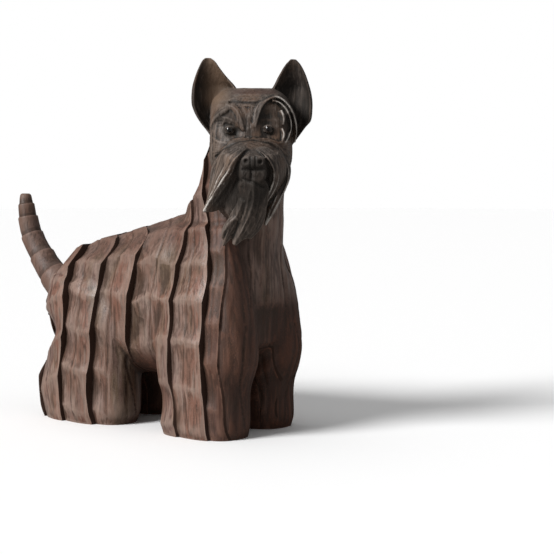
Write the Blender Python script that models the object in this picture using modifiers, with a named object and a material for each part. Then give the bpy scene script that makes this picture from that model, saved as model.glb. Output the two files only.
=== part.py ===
"""A standing Scottish terrier, cast in one piece, with a body of upright overlapping slabs."""

import math

import bmesh
import bpy
import numpy as np
from mathutils import Matrix, Vector

# The figure's height to the ear tips, in metres. The tables below give the figure
# in parts of this height, about a millimetre each: x to its left, y to its rear, z up.
FIGURE_HEIGHT = 0.359
PARTS_IN_HEIGHT = 359
PART = FIGURE_HEIGHT / PARTS_IN_HEIGHT
# The height in the tables at which the soles are cut flat
SOLE_Z = -3

RESIN_COLOUR = (0.165, 0.098, 0.068)
RESIN_ROUGHNESS = 0.5
SHARP_ANGLE = math.radians(35)

# How finely the forms are blended, in parts, and how many triangles they end with
BODY_VOXEL = 3.0
HEAD_VOXEL = 1.2
BODY_SMOOTHING = 12
CORE_SMOOTHING = 3
HEAD_SMOOTHING = 1
BODY_TRIANGLES = 4500
HEAD_TRIANGLES = 4300
RING_POINTS = 48
ROW_STEPS = 3

# Rows along the back: y, top, underside, half width
TORSO = [
    (132, 127, 94, 34),
    (130, 138, 78, 47),
    (120, 155, 63, 56),
    (102, 171, 52, 61),
    (76, 181, 48, 63),
    (40, 189, 47, 63),
    (0, 199, 47, 62),
    (-40, 207, 50, 62),
    (-80, 203, 58, 54),
    (-106, 185, 70, 44),
    (-122, 168, 84, 33),
]
TORSO_SQUARENESS = 2.7

# Rows up the neck: z, middle y, half length, half width
NECK = [
    (120, -76, 50, 57),
    (150, -76, 49, 53),
    (172, -76, 47.5, 48),
    (198, -78, 48, 45),
    (212, -81, 45, 43.5),
    (226, -86, 41, 41.5),
    (245, -91, 38, 39),
    (270, -93, 34, 33),
    (300, -97, 30, 30),
]
NECK_SQUARENESS = 2.4

# Rows up a leg: z, middle y, half length, half width
FORELEG = [
    (-16, -77, 42, 26),
    (-3, -77, 43, 28),
    (8, -77, 46, 31),
    (40, -77, 46, 31),
    (70, -79, 54, 33),
    (100, -79, 52, 32),
    (128, -79, 48, 29),
    (155, -79, 42, 22.5),
    (178, -79, 35, 16),
    (198, -80, 26, 9),
]
HIND_LEG = [
    (-16, 76.5, 52, 26),
    (-3, 76.5, 54, 28),
    (10, 76.5, 59.5, 31),
    (40, 77, 59.5, 32),
    (66, 69.5, 53, 32),
    (88, 65, 49, 32),
    (110, 72, 55, 32),
    (140, 76, 48, 24),
]
# The right legs' and left legs' middles, and how much further back the left legs stand
RIGHT_LEG_X = -41
LEFT_LEG_X = 36
LEFT_LEGS_BACK = 7
LEG_SQUARENESS = 2.6

# Where each groove between two slabs lies: y at each of the heights, on the right flank
GROOVE_HEIGHTS = (0, 30, 60, 90, 120, 150, 180, 215, 260)
GROOVES = [
    (122, 128, 124, 119, 126, 132, 136, 140, 140),
    (87, 89, 88, 83, 82, 88, 85, 83, 83),
    (47, 50.5, 46.5, 44, 42, 42, 35, 32, 32),
    (14, 14, 13, 8, 3.5, -1, -6, -8, -8),
    (-66, -62, -58, -59, -58, -59, -63, -59, -50),
    (-102.5, -100.5, -99, -99, -99.5, -100, -93.5, -79, -66),
    (-117.5, -116, -115.5, -116, -116, -115.5, -109.5, -103, -96),
]
# How much further back each groove runs over the spine than on the flanks, how far from the
# middle that begins and ends, and between which heights
SPINE_SHIFTS = (0, 10, 26, 31, 12, 0, 0)
SPINE_SPREAD = (48, 12)
SPINE_HEIGHT = (140, 175)
GROOVE_STEPS = 6
# The left flank's grooves wander by this much, in waves this long, each one's waves begun
# this much later, with a second wave half as long, and settle above the shoulder
LEFT_WAVE = 2.6
LEFT_WAVE_LENGTH = 19
LEFT_WAVE_DELAY = 2.1
SECOND_WAVE_SHARE = 0.6
SHOULDER = (150, 215)
FLANK_BLEND = 25
# How deep each groove's front-facing wall is at the same heights, and the shares of it
# that the slab behind it stands out and the slab in front of it is sunk
WALL_DEPTHS = [
    (4, 4, 4, 4, 4, 4, 3, 3, 3),
    (3.8, 3.8, 4, 5.2, 7.3, 7, 5, 3, 3),
    (5, 8, 6.8, 7, 5, 4.6, 3.5, 2.5, 2.5),
    (1, 1, 1.5, 5, 6.5, 6.5, 2.2, 1.8, 1.8),
    (2.8, 3.2, 4, 3, 5, 6.5, 4, 2, 2),
    (3.2, 4.4, 5.8, 5.5, 7, 4.6, 4.2, 6, 5),
    (1.5, 1.5, 1.8, 1.8, 1.8, 1.8, 1.6, 1.5, 1.2),
]
PROUD_SHARE = 0.45
SUNK_SHARE = 0.55
WALL_THICKNESS = 0.8
SLAB_ROUNDING = 2.2
# The share of the depth left between the legs, where the full depth begins above them,
# and how far out from the middle it begins
INNER_DEPTH = 0.25
LEG_TOP = (66, 100)
INNER_SIDE = (8, 30)
# The distance between grooves while they are straightened into flat planes for
# cutting, and how far before the first and past the last of them the figure may reach
STATION_SCALE = 30.0
BEYOND = 200.0

# The tail: rows from its root to its tip: y, z, radius
TAIL = [
    (124, 92, 16),
    (141, 107, 16),
    (157, 123, 16),
    (167, 133.5, 16),
    (180, 146, 14),
    (188, 156.5, 13),
    (197.5, 169, 12),
    (204, 180.5, 11.4),
    (208, 193.5, 10.4),
    (210, 204, 9.2),
    (211.6, 215, 7.4),
    (211.8, 222, 6.4),
]
# Where along the tail each stepped section ends, as shares of its length, and how far it steps in
TAIL_ENDS = (0.4, 0.56, 0.72, 0.845, 0.93, 1.0)
TAIL_STEP = 1.2
# Rings of one section: share of the section, how many half steps wider than the tail
TAIL_SECTION = ((0.04, -1), (0.5, -0.1), (0.9, 0.8), (1, 0.4))
TAIL_CAP = ((0.1, -1), (0.8, -1), (1, -4))
TAIL_POINTS = 16
TAIL_SQUARENESS = 2.2
# How far ahead and behind the tail's direction is read
TAIL_REACH = 3

# The head: its axis, how far it is turned to the figure's right, and rows up the skull:
# z, middle, half length, half width. In the head's own frame x runs to its left,
# the second number forward and z up.
HEAD_AXIS_Y = -100
HEAD_TURN = math.radians(50)
SKULL = [
    (232, 0, 26, 28),
    (246, 2, 33, 35),
    (262, 3, 37, 39),
    (282, 2, 37, 38.5),
    (300, 0, 36, 38.5),
    (314, -3, 33, 37),
    (322, -6, 27, 31),
    (327, -8, 20, 22),
]
SKULL_SQUARENESS = 2.9
# Rows along the muzzle: forward, middle z, half width, half height
MUZZLE = [
    (10, 256, 36, 28),
    (36, 256, 29, 25),
    (52, 255, 21.5, 20),
    (66, 252.5, 15, 15.5),
    (77, 250.5, 12.5, 12.5),
    (82, 250, 11.3, 11),
]
MUZZLE_SQUARENESS = 2.8
MUZZLE_MIDDLE = 0.8

# Locks of hair: rows along each lock's ridge: x, forward, z, width on its right, width on its left, height
LOCKS = {
    "right_moustache": [
        (-3, 64, 270, 3, 3, 2),
        (-7.5, 70, 267.5, 9, 3, 7),
        (-12, 76, 263.5, 14, 4, 11),
        (-17, 77.5, 257.5, 17, 7, 12),
        (-21.5, 73, 249, 16, 11, 10.5),
        (-27.5, 68, 240, 13, 14, 10),
        (-36, 62, 226.5, 7, 15, 9),
        (-41.5, 59, 218, 3.5, 10, 6),
        (-45.5, 58, 212, 0.6, 2, 1.5),
    ],
    "right_cheek": [
        (-28, 50, 263, 3, 5, 1),
        (-31, 49, 256, 5, 7, 4),
        (-34, 47, 248, 6, 9, 5),
        (-37, 48, 236, 4, 8, 5.5),
        (-41, 51, 223, 2, 5, 4),
        (-44, 54, 214, 0.6, 2, 1.5),
    ],
    "left_moustache": [
        (3, 64, 270, 3, 3, 2),
        (7.5, 70, 267, 3, 9, 7),
        (11.5, 77, 263.5, 3.5, 13, 11),
        (16, 78.5, 258, 5, 14, 12),
        (19.3, 74, 250.5, 7, 14, 10.5),
        (19.6, 70, 242, 9, 14, 10),
        (17, 66, 233, 11, 12, 9),
        (12.5, 62, 223, 10, 9, 8),
        (7, 60, 215, 4, 4, 3),
    ],
    "left_cheek": [
        (29, 50, 262, 5, 3, 1),
        (32, 50, 256, 8, 4, 4),
        (34, 48, 249, 12, 5, 6.5),
        (33, 51, 238, 12, 4, 8),
        (27, 54, 225, 9, 4, 8),
        (20, 56, 212, 6, 4, 6),
        (12.5, 57, 199, 0.8, 1.5, 1.5),
    ],
    "beard_right": [
        (-9, 72, 222, 4, 4, 2),
        (-14, 67, 210, 6, 6, 5),
        (-20, 62, 198, 6, 6, 5),
        (-25, 58, 186, 3, 3, 3),
        (-27, 56, 180, 0.8, 0.8, 1),
    ],
    "beard_middle": [
        (1.5, 82, 245, 8, 9, 2),
        (1.5, 83, 239, 11, 12, 5),
        (1.5, 80.5, 231, 13, 14, 9),
        (0.5, 75, 220, 14, 14, 9),
        (-3.5, 69, 207, 14, 12, 8),
        (-9, 64, 196, 12, 10, 7),
        (-14, 60, 187, 7, 5, 4),
        (-17, 58, 181, 2, 2, 1.5),
    ],
    "beard_left": [
        (10, 71, 222, 4, 4, 2),
        (8, 67, 210, 6, 6, 4),
        (3, 63, 198, 6, 6, 5),
        (-4, 58, 187, 3, 3, 3),
    ],
    "beard_curl": [
        (-15, 67, 207, 3, 3, 2),
        (-21, 64, 201, 4, 3, 3.5),
        (-26, 61, 194, 3, 2, 3),
        (-28, 58, 187, 1, 1, 1),
    ],
}
BROWS = {
    "right_brow": [
        (-25, 31, 309, 4, 2, 1.5),
        (-18, 34, 308.5, 7, 2.5, 2.5),
        (-12.5, 37, 302.5, 8, 2.5, 3),
        (-9.5, 38.5, 295, 6, 2, 2.5),
        (-7.5, 39.5, 287, 1.5, 1, 1.2),
    ],
    "left_brow": [
        (4, 38.2, 290, 2, 0.8, 0.8),
        (6, 37.5, 298, 3.5, 1.2, 1.6),
        (9, 35.5, 307, 4, 1.5, 2.2),
        (14.5, 32.5, 314.5, 3, 2.2, 3),
        (23, 30, 318, 2, 3, 3.6),
        (31, 28, 314.5, 2, 3, 5),
        (38, 24.5, 306, 2, 3, 5),
        (42, 20, 295, 2, 2.5, 4),
        (43, 17, 284, 2, 2, 3.5),
        (41.5, 15, 275, 1.2, 1.5, 2),
    ],
    "left_brow_tuft": [
        (28, 33, 306, 2, 2, 2),
        (30.5, 33.5, 299, 2.5, 3, 4),
        (30, 33, 292, 1.2, 1.5, 1.5),
    ],
    "left_brow_inner": [
        (20, 32, 314.5, 1.2, 1.2, 2.5),
        (27, 30.5, 312.5, 1.6, 1.6, 4),
        (33.5, 28, 306, 1.8, 1.8, 4.5),
        (37, 26, 297, 1.8, 1.8, 4.5),
        (37.5, 24.5, 288, 1.6, 1.6, 4),
        (34.5, 29, 280, 1.3, 1.3, 3),
        (31, 32, 274, 0.8, 0.8, 1),
    ],
    "left_lower_tuft": [
        (29, 33.5, 289, 1.4, 1.4, 1.5),
        (30.5, 34, 283, 1.8, 2.2, 3),
        (29, 34.5, 276, 1, 1, 1.5),
    ],
    "right_brow_tuft": [
        (-19, 32, 307.5, 2, 2, 1.5),
        (-25, 33.5, 305, 4, 5, 3),
        (-31, 29.5, 301, 4, 5, 3.5),
        (-36, 24.5, 295.5, 3, 4, 4),
        (-39, 19, 289, 1, 1, 1.5),
    ],
}
# The hair behind the locks: z, middle x, middle forward, half length, half width
WHISKERS = [
    (272, 0, 34, 14, 24),
    (262, 0, 42, 26, 31),
    (250, -0.5, 42, 27, 33.5),
    (238, -2, 40, 26, 33),
    (226, -6, 38, 25, 30),
    (214, -8, 36, 24, 24),
    (203, -6, 34, 24, 16),
    (194, -9, 36, 20, 12),
    (186, -13, 42, 12, 8),
]
WHISKER_SQUARENESS = 2.5
# Locks reach this far back into the face
LOCK_BACK = 3
BROW_BACK = 5
LOCK_POINTS = 17
LOCK_STEPS = 5
THINNEST_LOCK = 0.4
# How far locks face out to the side and down, and how far from the middle they begin to do so
LOCK_SIDEWAYS = 0.35
LOCK_DOWNWARD = 0.1
MIDDLE_BAND = 12
RIDGE_SHARPNESS = 1.35
FLUTES = 3
FLUTE_DEPTH = 0.06

# Rounded masses: x, forward, z, half width, half depth, half height; the nose is squarer
NOSE = (0.8, 80, 257.8, 11.2, 5.2, 5.8)
CHIN = (1, 60, 236, 15, 19, 12)
NOSE_SQUARENESS = 2.8

# Hollows pressed into the face: places of x, forward and z, with a radius and a depth
HOLLOWS = [
    ([(-30, 34, 294), (-25, 36, 292), (-20, 38, 289), (-15, 39, 286)], 6.2, 4.2),
    ([(16, 38, 299), (16, 38, 294), (16, 38, 288)], 8.5, 4.5),
    ([(-1, 40, 296)], 3.7, 2),
]
EYES = [(-20.8, 34, 287), (15.6, 34, 288)]
EYE_RADIUS = 3.7

# The ears, seen from the front: rows from the root up: z, x of the outer edge, x of the inner edge
RIGHT_EAR = [
    (274, -34, -22),
    (285, -40.5, -18),
    (297, -50, -14),
    (309, -56, -11),
    (319, -57, -10),
    (329, -56, -14),
    (337, -53.8, -21.5),
    (346, -50.3, -28.5),
    (353, -47, -33.5),
    (356.5, -43, -38),
]
LEFT_EAR = [
    (272, 39, 28),
    (281, 46, 26),
    (290, 53, 24),
    (297, 58.3, 22),
    (309, 59.8, 19),
    (320, 59.2, 17),
    (332, 56.2, 23),
    (343, 52.4, 29),
    (351, 48, 34),
    (355.5, 43.5, 38.5),
]
# How deep the bowl of an ear is, how thick its wall, how far from the tip it closes,
# and how far back it leans for each part of height above its middle
EAR_BOWL = 14
EAR_WALL = 6.5
EAR_CLOSING = 26
EAR_THINNEST = 0.2
EAR_RIM = 0.88
EAR_LEAN = 0.1
EAR_MIDDLE = 300
EAR_POINTS = 14


def catmull_rom(a, b, c, d, t):
    """The value at share t of the stretch from b to c."""
    return b + 0.5 * t * (c - a + t * (2 * a - 5 * b + 4 * c - d + t * (3 * (b - c) + d - a)))


def smooth_rows(rows, steps):
    """The table's rows with steps - 1 more rows between each two, on a smooth curve."""
    rows = np.array(rows, float)
    padded = np.vstack([2 * rows[0] - rows[1], rows, 2 * rows[-1] - rows[-2]])
    finer = [
        catmull_rom(*padded[i : i + 4], step / steps)
        for i in range(len(rows) - 1)
        for step in range(steps)
    ]
    return np.array([*finer, rows[-1]])


def superellipse(half_a, half_b, squareness, count=RING_POINTS):
    """Points round an oval that grows squarer as squareness rises over 2."""
    angles = np.arange(count) * 2 * math.pi / count
    power = 2 / squareness
    a = half_a * np.sign(np.cos(angles)) * np.abs(np.cos(angles)) ** power
    b = half_b * np.sign(np.sin(angles)) * np.abs(np.sin(angles)) ** power
    return a, b


def mesh_object(name, shape):
    mesh = bpy.data.meshes.new(name)
    bmesh.ops.recalc_face_normals(shape, faces=shape.faces)
    shape.to_mesh(mesh)
    shape.free()
    obj = bpy.data.objects.new(name, mesh)
    bpy.context.scene.collection.objects.link(obj)
    return obj


def loft(name, rings):
    """A closed body through rings of equally many points, in metres."""
    shape = bmesh.new()
    loops = [[shape.verts.new(Vector(point) * PART) for point in ring] for ring in rings]
    for lower, upper in zip(loops, loops[1:]):
        for i in range(len(lower)):
            shape.faces.new([lower[i - 1], lower[i], upper[i], upper[i - 1]])
    shape.faces.new(loops[0][::-1])
    shape.faces.new(loops[-1])
    return mesh_object(name, shape)


def upright_ring(x, y, z, half_length, half_width, squareness):
    along, across = superellipse(half_length, half_width, squareness)
    return [(x + b, y + a, z) for a, b in zip(along, across)]


def torso():
    rings = []
    for y, top, under, half_width in smooth_rows(TORSO, ROW_STEPS):
        across, up = superellipse(half_width, (top - under) / 2, TORSO_SQUARENESS)
        rings.append([(a, y, (top + under) / 2 + b) for a, b in zip(across, up)])
    return loft("torso", rings)


def upright_body(name, rows, x, squareness):
    rings = [
        upright_ring(x, y, z, half_length, half_width, squareness)
        for z, y, half_length, half_width in smooth_rows(rows, ROW_STEPS)
    ]
    return loft(name, rings)


def legs():
    right = [upright_body("leg", rows, RIGHT_LEG_X, LEG_SQUARENESS) for rows in (FORELEG, HIND_LEG)]
    left = [upright_body("leg", rows, LEFT_LEG_X, LEG_SQUARENESS) for rows in (FORELEG, HIND_LEG)]
    for leg in left:
        leg.data.transform(Matrix.Translation((0, LEFT_LEGS_BACK * PART, 0)))
    return right + left


def joined(name, objects):
    """One mesh object from several, which are removed."""
    shape = bmesh.new()
    for obj in objects:
        obj.data.transform(obj.matrix_world)
        shape.from_mesh(obj.data)
        bpy.data.objects.remove(obj)
    mesh = bpy.data.meshes.new(name)
    shape.to_mesh(mesh)
    shape.free()
    result = bpy.data.objects.new(name, mesh)
    bpy.context.scene.collection.objects.link(result)
    return result


def applied(obj):
    """The object with its modifiers made part of its mesh."""
    graph = bpy.context.evaluated_depsgraph_get()
    mesh = bpy.data.meshes.new_from_object(obj.evaluated_get(graph))
    obj.modifiers.clear()
    obj.data = mesh
    return obj


def blended(obj, voxel, smoothing):
    remesh = obj.modifiers.new("Blend", "REMESH")
    remesh.mode = "VOXEL"
    remesh.voxel_size = voxel * PART
    smooth = obj.modifiers.new("Soften", "SMOOTH")
    smooth.factor = 0.5
    smooth.iterations = round(smoothing)
    return applied(obj)


def smoothstep(low, high, value):
    t = np.clip((value - low) / (high - low), 0, 1)
    return t * t * (3 - 2 * t)


def groove_lines(x, z):
    """The y of each groove at these points, a row for each groove; the left flank's waves differ."""
    left = smoothstep(-FLANK_BLEND, FLANK_BLEND, x)
    near_spine = smoothstep(*SPINE_SPREAD, np.abs(x)) * smoothstep(*SPINE_HEIGHT, z)
    lines = [np.full(len(x), BEYOND)]
    for number, ys in enumerate(GROOVES):
        rows = smooth_rows(np.column_stack([GROOVE_HEIGHTS, ys]), GROOVE_STEPS)
        right_y = np.interp(z, rows[:, 0], rows[:, 1])
        straight = np.interp(z, [SHOULDER[0], SHOULDER[1], GROOVE_HEIGHTS[-1]], [np.mean(ys[:5]), *ys[-2:]])
        turn = z / LEFT_WAVE_LENGTH + LEFT_WAVE_DELAY * number
        wave = LEFT_WAVE * (np.sin(turn) + SECOND_WAVE_SHARE * np.sin(2 * turn))
        wave *= smoothstep(SHOULDER[1], SHOULDER[0], z)
        flank = right_y * (1 - left) + (straight + wave) * left
        lines.append(flank + SPINE_SHIFTS[number] * near_spine)
    lines.append(np.full(len(x), -BEYOND))
    return np.array(lines)


def to_stations(points):
    """How many grooves lie behind each point, with the share of the way to the next."""
    lines = groove_lines(points[:, 0], points[:, 2])
    shares = (lines[:-1] - points[:, 1]) / (lines[:-1] - lines[1:])
    return np.clip(shares, 0, 1).sum(axis=0)


def from_stations(x, z, station):
    lines = groove_lines(x, z)
    steps = np.clip(station - np.arange(len(lines) - 1)[:, None], 0, 1)
    return lines[0] + (steps * (lines[1:] - lines[:-1])).sum(axis=0)


def vertex_values(mesh, name):
    values = np.empty(len(mesh.vertices) * 3, np.float32)
    mesh.vertices.foreach_get(name, values)
    return values.reshape(-1, 3).astype(float)


def cut_at_grooves(shape):
    """Cuts edges along both sides of every groove's wall, while grooves are flat planes."""
    for number in range(1, len(GROOVES) + 1):
        for side in (-0.5, 0.5):
            bmesh.ops.bisect_plane(
                shape,
                geom=shape.verts[:] + shape.edges[:] + shape.faces[:],
                plane_co=(0, number * STATION_SCALE + side * WALL_THICKNESS, 0),
                plane_no=(0, 1, 0),
                dist=0.0001,
            )


def slabbed(obj):
    """Cuts the grooves into the body and swells each slab towards its front edge."""
    mesh = obj.data
    points = vertex_values(mesh, "co") / PART
    normals = vertex_values(mesh, "normal")
    warped = np.column_stack([points[:, 0], to_stations(points) * STATION_SCALE, points[:, 2]])
    mesh.vertices.foreach_set("co", warped.astype(np.float32).ravel())
    shape = bmesh.new()
    shape.from_mesh(mesh)
    layer = shape.verts.layers.float_vector.new("normal")
    for vert, normal in zip(shape.verts, normals):
        vert[layer] = normal
    cut_at_grooves(shape)
    warped = np.array([vert.co for vert in shape.verts])
    normals = np.array([vert[layer].normalized() for vert in shape.verts])
    station = warped[:, 1] / STATION_SCALE
    y = from_stations(warped[:, 0], warped[:, 2], station)
    points = np.column_stack([warped[:, 0], y, warped[:, 2]])
    push = slab_offset(station, points[:, 2]) * depth_share(points)
    points[:, 0] += push * normals[:, 0]
    points[:, 2] += push * normals[:, 2]
    for vert, point in zip(shape.verts, points):
        vert.co = Vector(point) * PART
    shape.verts.layers.float_vector.remove(layer)
    shape.to_mesh(mesh)
    shape.free()
    return obj


def wall_depths(z):
    """The depth of each groove's wall at these heights, a row for each, with none before and after."""
    rows = [np.interp(z, GROOVE_HEIGHTS, depths) for depths in WALL_DEPTHS]
    return np.array([0 * z, *rows, 0 * z])


def slab_offset(station, z):
    """How far the surface stands out: least behind a wall, most at a slab's front edge."""
    depths = wall_depths(z)
    half_wall = WALL_THICKNESS / 2 / STATION_SCALE
    number = np.clip(np.floor(station + half_wall), 0, len(depths) - 2).astype(int)
    behind = np.take_along_axis(depths, number[None], axis=0)[0]
    ahead = np.take_along_axis(depths, number[None] + 1, axis=0)[0]
    share = np.clip((station - number - half_wall) / (1 - 2 * half_wall), 0, 1)
    sunk = -SUNK_SHARE * behind
    proud = PROUD_SHARE * ahead
    on_slab = sunk + (proud - sunk) * (1 - (1 - share) ** SLAB_ROUNDING)
    down_wall = np.clip((station - number + half_wall) / (2 * half_wall), 0, 1)
    on_wall = PROUD_SHARE * behind - behind * down_wall
    return np.where(station - number < half_wall, on_wall, on_slab)


def depth_share(points):
    """The share of the slabs' full relief at these points of the body."""
    x, _, z = points.T
    outer = smoothstep(*INNER_SIDE, np.abs(x)) + smoothstep(*LEG_TOP, z)
    return np.clip(outer, INNER_DEPTH, 1)


def tail():
    """Stepped sections, each widest at its upper rim."""
    rows = smooth_rows(TAIL, 8)
    path = rows[:, :2]
    length = np.concatenate([[0], np.cumsum(np.linalg.norm(np.diff(path, axis=0), axis=1))])
    rings = []
    start = 0
    for end in TAIL_ENDS:
        for share, swell in TAIL_CAP if end == TAIL_ENDS[-1] else TAIL_SECTION:
            at = (start + share * (end - start)) * length[-1]
            y, z, radius = (np.interp(at, length, rows[:, i]) for i in range(3))
            ahead = [np.interp(at + TAIL_REACH, length, rows[:, i]) for i in range(2)]
            behind = [np.interp(at - TAIL_REACH, length, rows[:, i]) for i in range(2)]
            dy, dz = np.subtract(ahead, behind) / math.dist(ahead, behind)
            radius += swell * TAIL_STEP / 2
            a, b = superellipse(radius, radius, TAIL_SQUARENESS, TAIL_POINTS)
            rings.append([(across, y - up * dz, z + up * dy) for across, up in zip(a, b)])
        start = end
    return loft("tail", rings)


def head_frame():
    turn = Matrix.Rotation(-HEAD_TURN, 4, "Z")
    return Matrix.Translation((0, HEAD_AXIS_Y * PART, 0)) @ turn


def placed(obj):
    """Moves a piece modelled in the head's frame, whose forward is -y, to its place."""
    obj.data.transform(head_frame())
    return obj


def skull():
    rings = []
    for z, forward, half_length, half_width in smooth_rows(SKULL, ROW_STEPS):
        along, across = superellipse(half_length, half_width, SKULL_SQUARENESS)
        rings.append([(b, -(forward + a), z) for a, b in zip(along, across)])
    return placed(loft("skull", rings))


def muzzle():
    rings = []
    for forward, z, half_width, half_height in smooth_rows(MUZZLE, ROW_STEPS):
        across, up = superellipse(half_width, half_height, MUZZLE_SQUARENESS)
        rings.append([(a + MUZZLE_MIDDLE, -forward, z + b) for a, b in zip(across, up)])
    return placed(loft("muzzle", rings))


def whiskers():
    rings = []
    for z, x, forward, half_length, half_width in smooth_rows(WHISKERS, ROW_STEPS):
        along, across = superellipse(half_length, half_width, WHISKER_SQUARENESS)
        rings.append([(x + b, -(forward + a), z) for a, b in zip(along, across)])
    return placed(loft("whiskers", rings))


def lock(name, rows, back_depth):
    """A fluted blade whose ridge follows the rows, standing out from the face."""
    rows = smooth_rows(rows, LOCK_STEPS)
    rows[:, 3:] = np.maximum(rows[:, 3:], THINNEST_LOCK)
    path = rows[:, :3]
    tangents = np.gradient(path, axis=0)
    tangents /= np.linalg.norm(tangents, axis=1)[:, None]
    share = np.linspace(-1, 1, LOCK_POINTS)
    rings = []
    for i, (point, tangent) in enumerate(zip(path, tangents)):
        right, left, height = rows[i, 3:]
        facing = np.array([LOCK_SIDEWAYS * np.clip(point[0] / MIDDLE_BAND, -1, 1), 1, -LOCK_DOWNWARD])
        outward = facing - tangent * facing.dot(tangent)
        outward /= np.linalg.norm(outward)
        across = np.cross(outward, tangent)
        if across[0] < 0 or (abs(across[0]) < 0.3 and across[2] * point[0] < 0):
            across = -across
        offsets = np.where(share < 0, share * right, share * left)
        rise = -height * np.abs(share) ** RIDGE_SHARPNESS
        rise += FLUTE_DEPTH * height * np.cos(2 * math.pi * FLUTES * share) * (1 - np.abs(share))
        front = [point + across * o + outward * r for o, r in zip(offsets, rise)]
        depth = height + THINNEST_LOCK + back_depth * (1 - share**2)
        back = [point + across * o - outward * d for o, d in zip(offsets[::-1], depth[::-1])]
        rings.append([(x, -forward, z) for x, forward, z in [*front, *back]])
    return placed(loft(name, rings))


def ear(name, rows):
    """A bowl open to the front, whose outline follows the rows."""
    rows = smooth_rows(rows, ROW_STEPS)
    top = rows[-1][0]
    rings = []
    share = np.linspace(-1, 1, EAR_POINTS)
    arch = np.sqrt(np.clip(1 - share**2, 0, 1))
    for z, outer, inner in rows:
        middle, half = (outer + inner) / 2, (outer - inner) / 2
        bowl = EAR_BOWL * arch * np.clip((top - z) / EAR_CLOSING, EAR_THINNEST, 1)
        lean = (EAR_MIDDLE - z) * EAR_LEAN
        front = lean - bowl
        back = lean - bowl - EAR_WALL
        ring = [(middle + half * s, -b, z) for s, b in zip(share, back)]
        ring += [(middle + half * EAR_RIM * s, -f, z) for s, f in zip(share[::-1], front[::-1])]
        rings.append(ring)
    return placed(loft(name, rings))


def ball(name, x, forward, z, half_width, half_depth, half_height, squareness=2.0):
    """A rounded mass of the face, such as the nose or an eye."""
    shape = bmesh.new()
    bmesh.ops.create_uvsphere(shape, u_segments=24, v_segments=16, radius=PART)
    for vert in shape.verts:
        vert.co /= sum(abs(c / PART) ** squareness for c in vert.co) ** (1 / squareness)
    bmesh.ops.scale(shape, vec=(half_width, half_depth, half_height), verts=shape.verts)
    bmesh.ops.translate(shape, vec=Vector((x, -forward, z)) * PART, verts=shape.verts)
    return placed(mesh_object(name, shape))


def hollowed(obj):
    """Presses the eye sockets and the dip between the brows into the face."""
    frame = head_frame().inverted()
    forward = head_frame().to_3x3() @ Vector((0, -1, 0))
    for vert in obj.data.vertices:
        x, y, z = (frame @ vert.co) / PART
        depth = 0
        for places, radius, full in HOLLOWS:
            nearest = min(math.dist((x, -y, z), place) for place in places)
            depth += full * math.exp(-((nearest / radius) ** 2))
        vert.co -= forward * depth * PART
    return obj


def head():
    core = [skull(), muzzle(), whiskers(), ear("right ear", RIGHT_EAR), ear("left ear", LEFT_EAR)]
    core = hollowed(blended(joined("head", core), HEAD_VOXEL, CORE_SMOOTHING))
    pieces = [core]
    pieces += [lock(name, rows, LOCK_BACK) for name, rows in LOCKS.items()]
    pieces += [lock(name, rows, BROW_BACK) for name, rows in BROWS.items()]
    pieces += [ball("nose", *NOSE, NOSE_SQUARENESS), ball("chin", *CHIN)]
    pieces += [ball("eye", *eye, *[EYE_RADIUS] * 3) for eye in EYES]
    return blended(joined("head", pieces), HEAD_VOXEL, HEAD_SMOOTHING)


def flat_footed(obj):
    """Trims the soles to the floor."""
    shape = bmesh.new()
    shape.from_mesh(obj.data)
    geometry = shape.verts[:] + shape.edges[:] + shape.faces[:]
    cut = bmesh.ops.bisect_plane(
        shape, geom=geometry, plane_co=(0, 0, SOLE_Z * PART), plane_no=(0, 0, -1), clear_outer=True
    )
    edges = [e for e in cut["geom_cut"] if isinstance(e, bmesh.types.BMEdge)]
    bmesh.ops.holes_fill(shape, edges=edges, sides=0)
    shape.to_mesh(obj.data)
    shape.free()
    return obj


def reduced(obj, triangles):
    """The same form in about this many triangles."""
    obj.data.calc_loop_triangles()
    decimate = obj.modifiers.new("Reduce", "DECIMATE")
    decimate.ratio = triangles / len(obj.data.loop_triangles)
    return applied(obj)


def connected(start):
    """The vertices that edges join to this one."""
    found, waiting = {start}, [start]
    while waiting:
        for edge in waiting.pop().link_edges:
            for vert in edge.verts:
                if vert not in found:
                    found.add(vert)
                    waiting.append(vert)
    return found


def without_crumbs(obj):
    """Keeps the largest connected body and drops slivers cut loose beside it."""
    shape = bmesh.new()
    shape.from_mesh(obj.data)
    left, bodies = set(shape.verts), []
    while left:
        bodies.append(connected(next(iter(left))))
        left -= bodies[-1]
    bodies.sort(key=len)
    for body in bodies[:-1]:
        bmesh.ops.delete(shape, geom=list(body), context="VERTS")
    shape.to_mesh(obj.data)
    shape.free()
    return obj


def united(obj, others):
    for other in others:
        union = obj.modifiers.new("Unite", "BOOLEAN")
        union.operation = "UNION"
        union.solver = "EXACT"
        union.object = other
    applied(obj)
    for other in others:
        bpy.data.objects.remove(other)
    return without_crumbs(obj)


def centred(obj):
    """Puts the middle of the footprint at the origin, the soles at z = 0."""
    corners = np.array([v.co for v in obj.data.vertices])
    low, high = corners.min(axis=0), corners.max(axis=0)
    middle = (low + high) / 2
    obj.data.transform(Matrix.Translation((-middle[0], -middle[1], -low[2])))


def stained_resin():
    material = bpy.data.materials.new("stained resin")
    material.use_nodes = True
    shader = material.node_tree.nodes["Principled BSDF"]
    shader.inputs["Base Color"].default_value = (*RESIN_COLOUR, 1)
    shader.inputs["Roughness"].default_value = RESIN_ROUGHNESS
    shader.inputs["Metallic"].default_value = 0
    return material


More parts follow.
